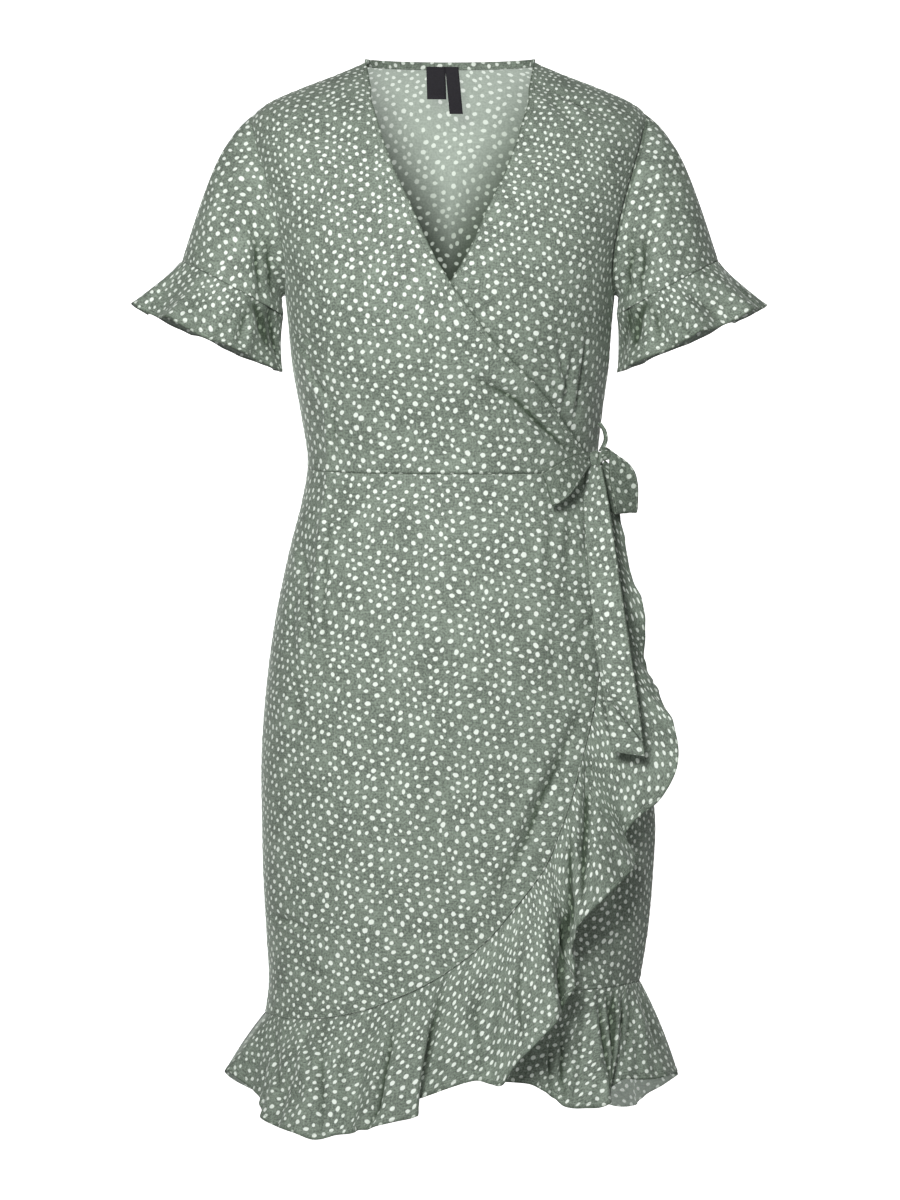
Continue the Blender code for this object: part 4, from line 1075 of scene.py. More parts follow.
def front_skirt_over():
    u = graded(OVER_WIDTH, OVER_STEPS[0], start=SEWN, end=SEWN)
    v = graded(OVER_LENGTH, OVER_STEPS[1], start=SEWN)
    right = by_length(SEAM_PLACES, v)
    top = waist_line(side_angle(WAIST_SIDE, -1, True) * (1 - u) + right[0, 0] * u, SEAM_HALF_GAP)
    right[0] = top[-1]
    left = side_line(down(top[0], right[-1], v), -1, True)
    right[-1] = left[-1]
    places = filled(top, np.tile(left[-1], (len(u), 1)), left, right, u, v)
    points, facing, shade = dressed(places, seed=31, seams=("left",), hidden=("right",), faint=("top",))
    start, reach, least = SEAM_CLEAR
    clear = least + (1 - least) * ease((places[..., 1] - start) / reach)
    # painted shade along the ruffle's seam
    shade = np.maximum(shade, clear * edge_shade(points, seams=("right",)))
    make_cloth("skirt_over", points, facing, shade=shade)
    return points, facing


skirt_front = front_skirt_over()
show_last(1)


# %% The front skirt underneath
def side_depth(angle):
    return LAYER * ease((90 - angle) / LAYER_FADE)


def under_hem_drop(angle):
    fall, reach = UNDER_HEM_FALL
    return HEM_SEAM_LEFT + fall * ease((90 - angle) / reach)


def front_skirt_under():
    u = graded(UNDER_WIDTH, GRID_STEP, start=HEMMED, end=SEWN)
    v = graded(SKIRT_LENGTH, GRID_STEP, start=SEWN, end=SEWN)
    top = waist_line(UNDER_INNER_ANGLE * (1 - u) + side_angle(WAIST_SIDE, 1, True) * u, SEAM_HALF_GAP)
    angles = UNDER_INNER_ANGLE * (1 - u) + side_angle(HEM_SEAM_LEFT, 1, True) * u
    bottom = np.column_stack([angles, under_hem_drop(angles)])
    left = np.column_stack([np.full(len(v), UNDER_INNER_ANGLE), down(top[0], bottom[0], v)])
    right = side_line(down(top[-1], bottom[-1], v), 1, True)
    places = filled(top, bottom, left, right, u, v)
    points, facing, shade = dressed(
        places, seed=41, sunk=side_depth(places[..., 0]), seams=("right", "top", "bottom"), hems=("left",)
    )
    make_cloth("skirt_under", points, facing, shade=shade)


front_skirt_under()
show_last(1)


# %% The back skirt
def back_hem_drop(angle):
    """The ruffle seam of the back skirt; the angle runs from -90 at the right side to -270 at the left."""
    from_right, from_left = BACK_HEM_TURNS
    behind = HEM_SEAM_RIGHT - (HEM_SEAM_RIGHT - HEM_SEAM_BACK) * ease((-90 - angle) / from_right)
    return behind + (HEM_SEAM_LEFT - behind) * ease(1 - (270 + angle) / from_left)


def back_span(drop, share):
    """Angles round the back at one drop, from the right side seam to the left one."""
    start = side_angle(drop, -1, False)
    return start * (1 - share) + (-360 - start) * share


def back_skirt():
    u = graded(BACK_SKIRT_WIDTH, BACK_SKIRT_STEP, start=SEWN, end=SEWN)
    v = graded(SKIRT_LENGTH, BACK_SKIRT_STEP, start=SEWN, end=SEWN)
    top = np.column_stack([back_span(WAIST_SIDE, u), np.full(len(u), WAIST_SIDE + SEAM_HALF_GAP)])
    angles = back_span(HEM_SEAM_RIGHT, u)
    bottom = np.column_stack([angles, back_hem_drop(angles)])
    left = side_line(down(top[0], bottom[0], v), -1, False)
    right = across_back(side_line(down(top[-1], bottom[-1], v), -1, False))
    places = filled(top, bottom, left, right, u, v)
    points, facing, shade = dressed(places, seed=51, seams=("left", "right", "top", "bottom"))
    make_cloth("skirt_back_panel", points, facing, shade=shade)


back_skirt()
show_last(1)


# %% [markdown]
# ## Ruffles
# A ruffle is a strip cut longer than its seam and gathered into it. Close to the seam the extra length
# stands in many small gathers, and they open into a few large waves at the free edge. The large waves of
# the front ruffle are in a table, one row for each rise and dip. The small gathers are ripples that fade
# with the distance from the seam.

# %% The free edges of the two front ruffles
CASCADE_START = 0.012
HEM_SIDE_RIGHT = (-206, -3, 927)
HEM_SIDE_LEFT = (209, -8, 928)
# Each row has the share of the seam's length, then where the edge lies: across, back and drop.
CASCADE = np.array((
    (0.000, 151, -28, 398), (0.040, 159, -36, 436), (0.080, 166, -46, 474), (0.115, 177, -52, 502),
    (0.145, 178, -50, 526), (0.170, 178, -34, 550), (0.190, 184, -40, 566), (0.215, 190, -74, 581),
    (0.250, 202, -88, 606), (0.280, 207, -92, 630), (0.305, 204, -94, 652), (0.328, 190, -98, 676),
    (0.346, 174, -95, 689), (0.361, 164, -88, 699), (0.375, 160, -76, 710), (0.389, 165, -70, 722),
    (0.403, 169, -78, 733), (0.420, 161, -97, 744), (0.450, 140, -121, 763), (0.474, 119, -129, 784),
    (0.490, 112, -125, 795), (0.505, 110, -114, 806), (0.520, 112, -104, 819), (0.535, 114, -106, 834),
    (0.550, 110, -120, 851), (0.567, 98, -136, 872), (0.585, 76, -145, 895), (0.610, 56, -146, 916),
    (0.628, 47, -142, 931), (0.642, 37, -131, 931), (0.660, 22, -130, 928), (0.685, -4, -137, 935),
    (0.703, -20, -131, 941), (0.716, -31, -127, 946), (0.726, -36, -133, 951), (0.738, -30, -143, 955),
    (0.752, -32, -153, 959), (0.780, -56, -158, 964), (0.805, -76, -152, 969), (0.825, -88, -138, 974),
    (0.848, -104, -133, 977), (0.868, -122, -139, 980), (0.893, -143, -128, 974), (0.915, -157, -104, 971),
    (0.933, -171, -84, 965), (0.953, -172, -66, 957), (0.970, -175, -46, 948), (0.986, -185, -25, 940),
    (1.000, *HEM_SIDE_RIGHT),
), float)
UNDER_EDGE = np.array((
    (0.00, *HEM_SIDE_LEFT), (0.05, 200, -34, 930), (0.10, 184, -55, 932), (0.14, 168, -68, 931),
    (0.17, 156, -76, 931), (0.19, 150, -86, 938), (0.21, 146, -97, 948), (0.24, 139, -104, 953),
    (0.30, 120, -107, 954.5), (0.36, 104, -104, 953), (0.42, 94, -98, 946),
    (0.50, 73, -108, 933), (0.60, 43, -119, 929.5), (0.70, 14, -117, 928.5), (0.80, -14, -114, 932),
    (0.90, -39, -104, 940), (1.00, -67, -97, 943),
), float)
print("rows for the front ruffle:", len(CASCADE))

# %% Hang a gathered strip from its seam
RUFFLE_GAP = 0.2
SWELL = 0.12
SWELL_LIMIT = 50.0
BOW_PLACE = 0.42
GATHER_LENGTH = 8.5
GATHER_HEIGHT = 0.9
GATHERED = (0, 0.9, 2.0)  # distances from a gathered seam where the cloth needs points
GATHER_FADE = 20.0
GATHER_START = 2.5
GATHER_CHANGE = (0.3, 70.0)  # how much the gathers vary along the seam, and over what length
FLUTE_LENGTH = 30.0
FLUTE_HEIGHT = 1.7
FLUTE_PEAK, FLUTE_SHARPNESS = 0.62, 1.5
END_HOLD = 12.0  # gathers and flutes fade within this of the two ends of a strip
RUFFLE_DEPTH = 98.0
RUFFLE_STEP = 3.4
FACES_FRONT = 0.4  # creases drawn from the front show in full where a normal turns this far to the front


def through(rows, steps):
    """More rows, on a smooth curve through a table's own."""
    return read_table(np.arange(len(rows)), rows, np.linspace(0, len(rows) - 1, steps * (len(rows) - 1) + 1))


def seam_line(places, sunk, toward):
    """Points and normals of a strip's first row: the seam's places, moved a gap off on the toward side."""
    bases = cloth(places[:, 0], places[:, 1], -sunk)
    normals = normal_at(places[:, 0], places[:, 1])
    off = unit(np.cross(normals, np.gradient(bases, axis=0)))
    if off[len(off) // 2] @ np.asarray(toward, float) < 0:
        off = -off
    return bases + RUFFLE_GAP * off, normals


def gathered(points, facing, seed, ring=False, height=GATHER_HEIGHT, flute=FLUTE_HEIGHT):
    """Small gathers by the seam that open into soft flutes."""
    seam_length, edge_length = lengths_along(points[0]), lengths_along(points[-1])
    depth = lengths_along(points)
    change, change_length = GATHER_CHANGE
    small = ripple(seam_length, GATHER_LENGTH, seed)
    small = small * (1 - change + change * ripple(seam_length, change_length, seed + 1))
    wide = ripple(edge_length, FLUTE_LENGTH, seed + 2)
    lift = height * small * np.exp(-depth / GATHER_FADE) * ease(depth / GATHER_START)
    share = np.clip(depth / depth[-1], 0, 1)
    lift = lift + flute * wide * np.sin(np.pi * share * FLUTE_PEAK) ** FLUTE_SHARPNESS
    lift = lift - hump(depth, SEAM_DIP_REACH, SEAM_DIP)
    if not ring:
        lift = lift * ease(np.minimum(seam_length, seam_length[-1] - seam_length) / END_HOLD)
    return points + lift[..., None] * facing


def pressed(points, normals, creases):
    """How far creases drawn as seen from the front lift the points that face it."""
    seen = np.stack([points[..., 0], -points[..., 2]], axis=-1)
    height = np.zeros(points.shape[:2])
    for rise, reach, ridge, line in creases:
        height = height + crease_lift(seen, rise, reach, ridge, np.array(line, float))
    return height * ease(-normals[..., 1] / FACES_FRONT)


def front_folds(points, normals, creases):
    """The same lift, and the painted shade of those creases."""
    return pressed(points, normals, creases), depth_shade(pressed(points, normals, narrowed(creases)))


def hang_strip(name, seam, seam_normals, edge, seed, creases=()):
    t = graded(RUFFLE_DEPTH, RUFFLE_STEP, start=GATHERED, end=HEMMED)[:, None, None]
    stands_off = ((edge - seam) * seam_normals).sum(axis=-1)
    swell = SWELL * np.clip(stands_off, 0, SWELL_LIMIT)
    bend = seam + BOW_PLACE * (edge - seam) + swell[:, None] * seam_normals
    points = (1 - t) ** 2 * seam + 2 * t * (1 - t) * bend + t * t * edge
    normals = grid_normals(points)
    if (normals[1] * seam_normals).sum() < 0:
        normals = -normals
    points = gathered(points, normals, seed)
    folds, dark = front_folds(points, normals, creases)
    points = finish_edges(points + folds[..., None] * normals, normals, hems=("bottom",))
    # painted shade along the seams, the hem and the creases
    shade = np.maximum(edge_shade(points, seams=("left", "right"), hems=("bottom",)), dark)
    make_cloth(name, points, normals, flat=flat_from_grid(points), shade=shade)
    return points, normals


# %% Folds of the front ruffles, drawn as seen from the front: height, reach, ridge and (across, drop) line
RUFFLE_CREASES = (
    (-7.5, 5.5, 0.4, (
        (126, 640), (127, 658), (125, 684), (124.5, 698), (121, 722), (119.5, 746), (118, 770),
    )),
    (-7.5, 5.5, 0.4, ((110, 704), (107, 733), (105.5, 770), (105, 820), (107, 862))),
    (-6.0, 4.5, 0.4, ((98, 812), (101, 835), (104, 862), (99, 880))),
    (-4.0, 3.2, 0.4, ((137, 556), (142, 590), (146, 610), (152, 628))),
    (-3.0, 4.0, 0.5, ((96, 760), (92, 800), (96, 850))),
    (-3.4, 4.5, 0.5, ((66, 800), (60, 850), (66, 905))),
    (-3.0, 4.5, 0.5, ((30, 832), (24, 872), (30, 915))),
    (-5.5, 3.4, 0.6, ((-51, 868), (-55, 899), (-61, 925), (-65, 950), (-76, 968), (-86, 978))),
    (-4.0, 2.8, 0.6, ((-5, 836), (-11, 867), (-17, 889), (-23, 922), (-27, 942))),
    (-2.4, 3.0, 0.5, ((-44, 866), (-46, 880), (-50, 894))),
    (3.0, 5.0, 0.0, ((-141, 884), (-134, 912), (-128, 940), (-122, 975))),
    (-3.6, 3.2, 0.4, ((-116, 877), (-117, 910), (-115, 940), (-113, 976))),
    (-2.4, 3.6, 0.4, ((-98, 884), (-96, 930), (-92, 970))),
    (-2.6, 3.6, 0.4, ((-160, 884), (-158, 915), (-154, 950))),
    (-2.0, 3.0, 0.4, ((-130, 878), (-131, 900), (-128, 925))),
)
UNDER_CREASES = (
    (-3.0, 12.0, 0.0, ((150, 848), (149, 880), (147, 908))),
    (-5.5, 3.4, 0.5, ((136, 850), (140, 885), (145, 925), (148, 945))),
    (-5.0, 3.2, 0.5, ((150, 850), (152, 880), (150, 920), (148, 950))),
    (-4.0, 3.0, 0.5, ((143, 850), (147, 872), (149, 900))),
    (-4.0, 3.0, 0.5, ((157, 850), (160, 870), (158, 900))),
    (-3.4, 3.4, 0.5, ((165, 852), (166, 880), (160, 915))),
    (-3.0, 4.0, 0.5, ((172, 850), (186, 884), (196, 918))),
    (-4.6, 3.0, 0.5, ((101, 880), (103, 905), (101, 930), (104, 950))),
    (-4.0, 3.0, 0.5, ((92, 890), (91, 915), (94, 945))),
    (-2.4, 3.6, 0.5, ((122, 853), (119, 900), (114, 945))),
)

print("creases of the front ruffles:", len(RUFFLE_CREASES), "and", len(UNDER_CREASES))

# %% The ruffle of the top skirt, the one underneath and the one behind
BACK_RUFFLE_WAVES = 8
BACK_RUFFLE_DEPTH = 88.0
BACK_RUFFLE_HOLD = 0.15
BACK_RUFFLE_FLARE = 17.0
BACK_RUFFLE_SWING = 13.0
BACK_RUFFLE_BEAT = (0.8, 5.0)  # makes its waves uneven
BACK_RUFFLE_LOW = (0.79, 0.12, 34.0)  # it hangs lower and smoother here: share of the length, reach, mm
BACK_RUFFLE_CALM = 0.9  # how much of the waves is gone there
COLUMNS_PER_WAVE = 46


def ruffle_over():
    curve = through(CASCADE, 14)
    shares = CASCADE_START + (1 - CASCADE_START) * curve[:, 0]
    places = by_length(SEAM_PLACES, shares)
    places[-1, 0] = side_angle(places[-1, 1], -1, True)
    seam, normals = seam_line(places, 0.0 * shares, (1, 0, -1))
    edge = curve[:, 1:] * (1, 1, -1)
    return hang_strip("ruffle_front", seam, normals, edge, seed=61, creases=RUFFLE_CREASES)


def ruffle_under():
    curve = through(UNDER_EDGE, 16)
    start = side_angle(HEM_SEAM_LEFT, 1, True)
    angles = start + (UNDER_INNER_ANGLE - start) * curve[:, 0]
    places = np.column_stack([angles, under_hem_drop(angles)])
    seam, normals = seam_line(places, side_depth(angles), (0, 0, -1))
    edge = curve[:, 1:] * (1, 1, -1)
    return hang_strip("ruffle_inner", seam, normals, edge, seed=71, creases=UNDER_CREASES)


def ruffle_back():
    start = side_angle(HEM_SEAM_RIGHT, -1, False)
    share = np.linspace(0, 1, COLUMNS_PER_WAVE * BACK_RUFFLE_WAVES + 1)
    angles = start + (-360 - 2 * start) * share
    places = np.column_stack([angles, back_hem_drop(angles)])
    seam, normals = seam_line(places, 0.0 * share, (0, 0, -1))
    beat, beats = BACK_RUFFLE_BEAT
    wave = np.sin(2 * np.pi * BACK_RUFFLE_WAVES * share + beat * np.sin(beats * share))
    low, reach, depth = BACK_RUFFLE_LOW
    lower = hump(share - low, reach)
    swing = BACK_RUFFLE_SWING * wave * (1 - BACK_RUFFLE_CALM * lower)
    flare = np.radians(BACK_RUFFLE_FLARE + swing)[:, None]
    edge = seam + BACK_RUFFLE_DEPTH * (np.sin(flare) * normals + np.cos(flare) * np.array([0, 0, -1]))
    edge[:, 2] -= depth * lower
    for end, at in ((HEM_SIDE_RIGHT, share), (HEM_SIDE_LEFT, 1 - share)):
        hold = (1 - ease(at / BACK_RUFFLE_HOLD))[:, None]
        edge = (1 - hold) * edge + hold * np.array(end) * (1, 1, -1)
    return hang_strip("ruffle_behind", seam, normals, edge, seed=81)


hems = [ruffle_over(), ruffle_under(), ruffle_back()]
show_last(3)

# %% [markdown]
# ## Sleeves
# A short sleeve is a tube that starts square to its armhole and turns down to the cuff. Each column of
# its grid is a curve with four control points, so the cap rounds over the shoulder by itself. The flounce
# is a second ring that flares from the cuff.

# %% The cuff, where the sleeve ends and the flounce begins
CUFF_CENTRE = (200.0, 0.0, 208.0)
CUFF_TILT = 28.0
CUFF_RADIUS = 53.0
CUFF_HALF_DEPTH = 56.0
SLEEVE_GAP = 0.1
SLEEVE_SUNK = 0.2
SLEEVE_LEAN = 18.0
CAP_RISE = -0.8  # a direction, below 0 where the cap falls from the shoulder


def cuff_axes(side):
    """The middle of the cuff, its outward direction and the sleeve's own direction there."""
    tilt = math.radians(CUFF_TILT)
    centre = np.array([side * CUFF_CENTRE[0], CUFF_CENTRE[1], -CUFF_CENTRE[2]])
    outward = np.array([side * math.cos(tilt), 0, math.sin(tilt)])
    return centre, outward, np.array([side * math.sin(tilt), 0, -math.cos(tilt)])


def cuff_points(side, turn):
    centre, outward, _ = cuff_axes(side)
    t = np.radians(turn)[:, None]
    return centre + CUFF_RADIUS * np.cos(t) * outward + CUFF_HALF_DEPTH * np.sin(t) * np.array([0, -1, 0])


print("cuff:", 2 * CUFF_RADIUS, "by", 2 * CUFF_HALF_DEPTH, "mm")

# %% Creases of a sleeve: height and reach, then the turn and the share of the length at both ends
SLEEVE_CREASES = (
    (-2.4, 6, 128, 0.10, 108, 0.85),
    (-1.8, 5, 148, 0.15, 126, 0.95),
    (-1.6, 6, 82, 0.05, 62, 0.50),
    (-1.2, 6, 52, 0.04, 44, 0.40),
    (-1.1, 6, 22, 0.03, 20, 0.35),
    (-2.2, 7, 232, 0.10, 252, 0.85),
    (-1.8, 6, 212, 0.15, 234, 0.95),
    (-1.5, 6, 278, 0.05, 298, 0.50),
    (-1.1, 6, 316, 0.04, 322, 0.40),
    (-1.8, 6, 170, 0.30, 196, 0.55),
)
MM_PER_TURN = 0.95
SLEEVE_RIDGE = (1.8, 0.5)  # where the ridge beside a crease lies, in reaches, and how high it is
# Drawn as seen from the front, for the wearer's right sleeve: height, reach, ridge and (across, drop) line.
SLEEVE_FRONT = (
    (-2.6, 13.0, 0.0, ((-169, 140), (-166, 185), (-164, 222))),
    (-3.8, 4.0, 0.5, ((-177, 160), (-174, 190), (-172, 222))),
    (-2.6, 3.0, 0.5, ((-165, 176), (-162, 200), (-160, 222))),
    (-1.8, 5.0, 0.5, ((-186, 112), (-181, 150), (-178, 186))),
    (-1.6, 6.0, 0.5, ((-200, 96), (-206, 140), (-212, 180))),
)
FLOUNCE_FRONT = (
    (-3.4, 12.0, 0.0, ((-170, 220), (-166, 245), (-162, 274))),
    (-4.4, 5.0, 0.5, ((-178, 220), (-171, 238), (-166, 262))),
    (-3.0, 3.6, 0.5, ((-190, 232), (-206, 242), (-222, 258))),
    (-3.8, 5.0, 0.5, ((-176, 222), (-187, 238), (-192, 264))),
    (-4.0, 4.0, 0.5, ((-164, 222), (-159, 249), (-156, 278))),
    (-2.4, 4.0, 0.5, ((-214, 214), (-232, 226), (-246, 238))),
)


def mirrored(creases, side):
    return [
        (rise, reach, ridge, [(-side * across, drop) for across, drop in line])
        for rise, reach, ridge, line in creases
    ]


def sleeve_lift(turn, share, length):
    height = 0.0
    place = np.stack([turn * MM_PER_TURN, share * length], axis=-1)
    for rise, reach, turn_1, share_1, turn_2, share_2 in SLEEVE_CREASES:
        start = np.array([turn_1 * MM_PER_TURN, share_1 * length])
        run = np.array([(turn_2 - turn_1) * MM_PER_TURN, (share_2 - share_1) * length])
        t, off = nearest_on(place, start, run)
        away = np.linalg.norm(off, axis=-1) * np.sign(run[0] * off[..., 1] - run[1] * off[..., 0])
        ridge_away, ridge = SLEEVE_RIDGE
        profile = hump(away, reach) - hump(away - ridge_away * reach, reach, ridge)
        height = height + rise * profile * np.sin(np.pi * t) ** CREASE_FADE
    return height


print("creases of a sleeve:", len(SLEEVE_CREASES) + len(SLEEVE_FRONT))

# %% Sleeves
SLEEVE_LENGTH = 125.0
SLEEVE_STEP = 3.2
SLEEVE_SPREAD = 1.15  # above 1, so that the rows lie closer at the armhole
LEAVE = (0.27, 0.02)  # how far out its second control point lies, in shares of the reach, and more above
LEAVE_WAY = (1, 0.6, 0.3)
LEAVE_PROUD = 1.6
ARRIVE = 0.42  # and how far before the cuff its third one lies
CUFF_PUCKER = 0.3
ARMHOLE_FADE = 10.0
ALLOWANCE = 2.5
ALLOWANCE_SUNK = 1.2


def ring_normals(points, side):
    normals = grid_normals(points, ring=True)
    return -normals if normals[len(points) // 2, 0] @ cuff_axes(side)[1] < 0 else normals


def sleeve(name, side, seed):
    turn = np.arange(0, 360, 3.0)
    share = graded(SLEEVE_LENGTH, SLEEVE_STEP, start=SEWN, end=SEWN)
    angle, drop = armhole(side, turn)
    normal = normal_at(angle, drop)
    before, after = armhole(side, turn - 1), armhole(side, turn + 1)
    inward = unit(np.cross(normal, bare_body(*after) - bare_body(*before))) * side
    start = bare_body(angle, drop) + SLEEVE_GAP * inward - SLEEVE_SUNK * normal
    end = cuff_points(side, turn)
    reach = np.linalg.norm(end - start, axis=-1, keepdims=True)
    inner = ((1 - np.cos(np.radians(turn))) / 2)[:, None]
    lift = np.array([0, 0, CAP_RISE]) * np.maximum(0, np.cos(np.radians(turn)))[:, None]
    square = (LEAVE[0] + LEAVE[1] * (1 - inner)) * reach
    leave = start + square * unit(normal * LEAVE_WAY + lift) + LEAVE_PROUD * normal
    lean = np.radians(SLEEVE_LEAN * (1 - inner))
    along = np.concatenate([side * np.sin(lean), 0 * lean, -np.cos(lean)], axis=1)
    arrive = end - ARRIVE * reach * along
    t = (share**SLEEVE_SPREAD)[:, None, None]
    points = (1 - t) ** 3 * start + 3 * t * (1 - t) ** 2 * leave + 3 * t * t * (1 - t) * arrive + t**3 * end
    normals = ring_normals(points, side)
    depth = share[:, None] * SLEEVE_LENGTH
    to_cuff = SLEEVE_LENGTH - depth
    round_seam = lengths_along(start)
    pucker = PUCKER_HEIGHT * ripple(round_seam, PUCKER_LENGTH, seed)
    pucker = pucker * np.exp(-depth / ARMHOLE_FADE) * ease(depth / PUCKER_START)
    cuff_pucker = CUFF_PUCKER * ripple(round_seam, PUCKER_LENGTH, seed + 1)
    pucker = pucker + cuff_pucker * np.exp(-to_cuff / PUCKER_FADE)
    dips = hump(to_cuff, SEAM_DIP_REACH, SEAM_DIP)
    creases = sleeve_lift(turn[None] + 0 * share[:, None], share[:, None] + 0 * turn[None], SLEEVE_LENGTH)
    front, dark = front_folds(points, normals, mirrored(SLEEVE_FRONT, side))
    points = points + (pucker - dips + creases + front)[..., None] * normals
    # The seam allowance is turned in under the bodice.
    tucked = start - ALLOWANCE * inward - ALLOWANCE_SUNK * normal
    points, normals = np.concatenate([tucked[None], points]), np.concatenate([normals[:1], normals])
    # painted shade at the armhole seam and in the creases
    shade = np.maximum(np.maximum(seam_shade(depth), depth_shade(creases)), dark)
    shade = np.concatenate([shade[:1], shade])
    make_cloth(name, points, normals, ring=True, cut=len(turn) // 2, shade=shade)


# %% Flounces, and both sleeves
FLOUNCE_DEPTH = 60.0
FLOUNCE_STEP = 3.0
FLOUNCE_SHORTER = 0.13
FLOUNCE_FLARE = 15.0
FLOUNCE_INNER_FLARE = 10.0
FLOUNCE_SWING = 12.0
FLOUNCE_WAVES = 7
FLOUNCE_CALM = 0.7  # how much of the waves is gone on the inner side
FLOUNCE_TOP_CALM = 0.4  # and right above the arm
FLOUNCE_GAP = 0.15


def flounce(name, side, phase, seed):
    turn = np.arange(0, 360, 1.1)
    centre, _, downward = cuff_axes(side)
    start = cuff_points(side, turn) + FLOUNCE_GAP * downward
    radial = unit(cuff_points(side, turn) - centre)
    inner = (1 - np.cos(np.radians(turn))) / 2
    wave = np.sin(np.radians(FLOUNCE_WAVES * turn + phase)) * (1 - FLOUNCE_CALM * inner)
    wave = wave * (1 - FLOUNCE_TOP_CALM * (1 - inner) ** 4)
    share = graded(FLOUNCE_DEPTH, FLOUNCE_STEP, start=GATHERED, end=HEMMED)[:, None]
    flare = np.radians(FLOUNCE_FLARE + FLOUNCE_INNER_FLARE * inner + FLOUNCE_SWING * wave) * share**0.15
    length = FLOUNCE_DEPTH * share * (1 - FLOUNCE_SHORTER * inner) * (1 + 0.04 * wave)
    way = np.cos(flare)[..., None] * downward + np.sin(flare)[..., None] * radial
    points = start + length[..., None] * way
    normals = ring_normals(points, side)
    points = gathered(points, normals, seed, ring=True, height=0.8, flute=1.2)
    folds, dark = front_folds(points, normals, mirrored(FLOUNCE_FRONT, side))
    points = finish_edges(points + folds[..., None] * normals, normals, hems=("bottom",))
    # painted shade along the seam, the hem and the creases
    shade = np.maximum(edge_shade(points, seams=("top",), hems=("bottom",)), dark)
    make_cloth(name, points, normals, ring=True, flat=flat_from_grid(points, ring=True, row=0.8), shade=shade)
    return closed(points), closed(normals)


flounces = []
for side, word, phase in ((-1, "right", 0), (1, "left", 180)):
    sleeve(f"sleeve_{word}_cloth", side, seed=90 + side)
    flounces.append(flounce(f"flounce_{word}", side, phase, seed=100 + side))
show_last(4)

# %% [markdown]
# ## Neck binding and labels
# The back neck is bound with a strip folded over its edge. Two bare black labels hang from it on the
# inside: woven tape, sewn in under the binding.

# %% Binding: a strip folded over the back neck
BINDING_HEIGHT = 6.0
BINDING_THICKNESS = 1.8
BINDING_END = 0.012
BINDING_OVERLAP = 1.6  # how far its two layers reach down over the neck edge
BINDING_PRINT = 4.4  # moves the print, so that a row of dots lies along the middle of the face
FOLD_ROWS = 15


def neck_binding():
    share = np.linspace(BINDING_END, 1 - BINDING_END, 110)
    angle, low = neck_place(share)
    low = low - 0.1
    height = BINDING_HEIGHT * (0.45 + 0.55 * low / BACK_NECK_DROP)
    outward = unit(normal_at(angle, low) * (1, 1, 0))
    base = bare_body(angle, low)
    base[:, 2] = -low
    half = BINDING_THICKNESS / 2
    points = []
    for t in np.linspace(-1, 1, FOLD_ROWS):
        over = np.clip(t * 2.2, -1, 1) * math.pi / 2
        flank = max(0, abs(t) - 1 / 2.2) / (1 - 1 / 2.2)
        off = (half * math.sin(over) - half + 0.5) * outward
        up = (height - half + half * math.cos(over)) * (1 - flank) - BINDING_OVERLAP * flank
        points.append(base + off + np.stack([0 * up, 0 * up, up], axis=-1))
    points = np.array(points)
    sides = np.linspace(-1, 1, FOLD_ROWS)[:, None, None]
    facing = outward[None] * sides + np.array([0, 0, 1]) * (1 - abs(sides))
    flat = flat_from_grid(points) + np.array([0, BINDING_PRINT])
    # painted shade over the binding, darkest along the fold at the top
    shade = np.broadcast_to(0.12 + 0.3 * (1 - abs(sides[..., 0])) ** 2, points.shape[:2])
    make_cloth("neck_binding", points, facing, flat=flat, thickness=0.4, shade=shade)
    return points, facing


binding = neck_binding()
show_last(1)

# %% Labels: black woven tape
# Each row has the name, the left and right edge, the top and bottom, the swing to the side and the lean.
LABELS = (
    ("care_tape", -22, -4.2, 0.5, 30.5, 0.8, 3),
    ("neck_tape", -4.6, 7.8, 0.5, 44, 4.2, 4),
)
LABEL_GAP = 0.5
LABEL_THICKNESS = 0.55


def tape_material():
    material, tree, shader = new_material("black label tape", {"Roughness": 0.8, "Specular IOR Level": 0.15})
    place = add(tree, "ShaderNodeUVMap", uv_map="flat cloth").outputs[0]
    threads = streaks(tree, place, 300.0, 3200.0)
    colour = blended(tree, threads, (0.014, 0.013, 0.016, 1), (0.036, 0.034, 0.04, 1))
    plug(tree, colour, shader.inputs["Base Color"])
    add_bump(tree, shader, threads, strength=0.4, distance=0.0002)
    return material


def binding_inside(across):
    """How far back the binding's inner face lies at one place across the neck."""
    drop = BACK_NECK_DROP - 0.3
    angle = -180 - angle_of(across, drop)
    outward = unit(normal_at(angle, drop) * (1, 1, 0))
    return bare_body(angle, drop)[1] - (BINDING_THICKNESS - 0.3) * outward[1]


tape = tape_material()
for name, left, right, top, bottom, swing, lean in LABELS:
    share = graded(bottom - top, 2.0, start=(0, 0.4), end=(0, 0.4, 2.6, 3.0))[:, None]
    across = np.linspace(0, 1, 9)[None]
    x = left + (right - left) * across + swing * share
    back = binding_inside(left) * (1 - across) + binding_inside(right) * across
    y = back - LABEL_GAP - LABEL_THICKNESS + lean * share**2 - 0.5 * np.sin(np.pi * across) * share
    fold = 0.3 * ease((share * (bottom - top) - (bottom - top - 3)) / 0.4)
    points = np.stack([x, y - fold, -(top + (bottom - top) * share) + 0 * across], axis=-1)
    facing = np.broadcast_to(np.array([0, -1.0, 0]), points.shape)
    flat = flat_from_grid(points)
    make_cloth(name, points, facing, flat=flat, thickness=LABEL_THICKNESS, slots=(tape, tape))
show_last(2)

# %% [markdown]
# ## The tie
# The tie is a doubled band of the same cloth. It comes out at the side through a narrow strap and is
# knotted in a bow: two loops, two tails and a knot. Each stretch is a ribbon through a few rows of a
# table, each with the middle of the band and half its width as a direction. A cloth simulation could tie
# a bow, but it would never be this one.

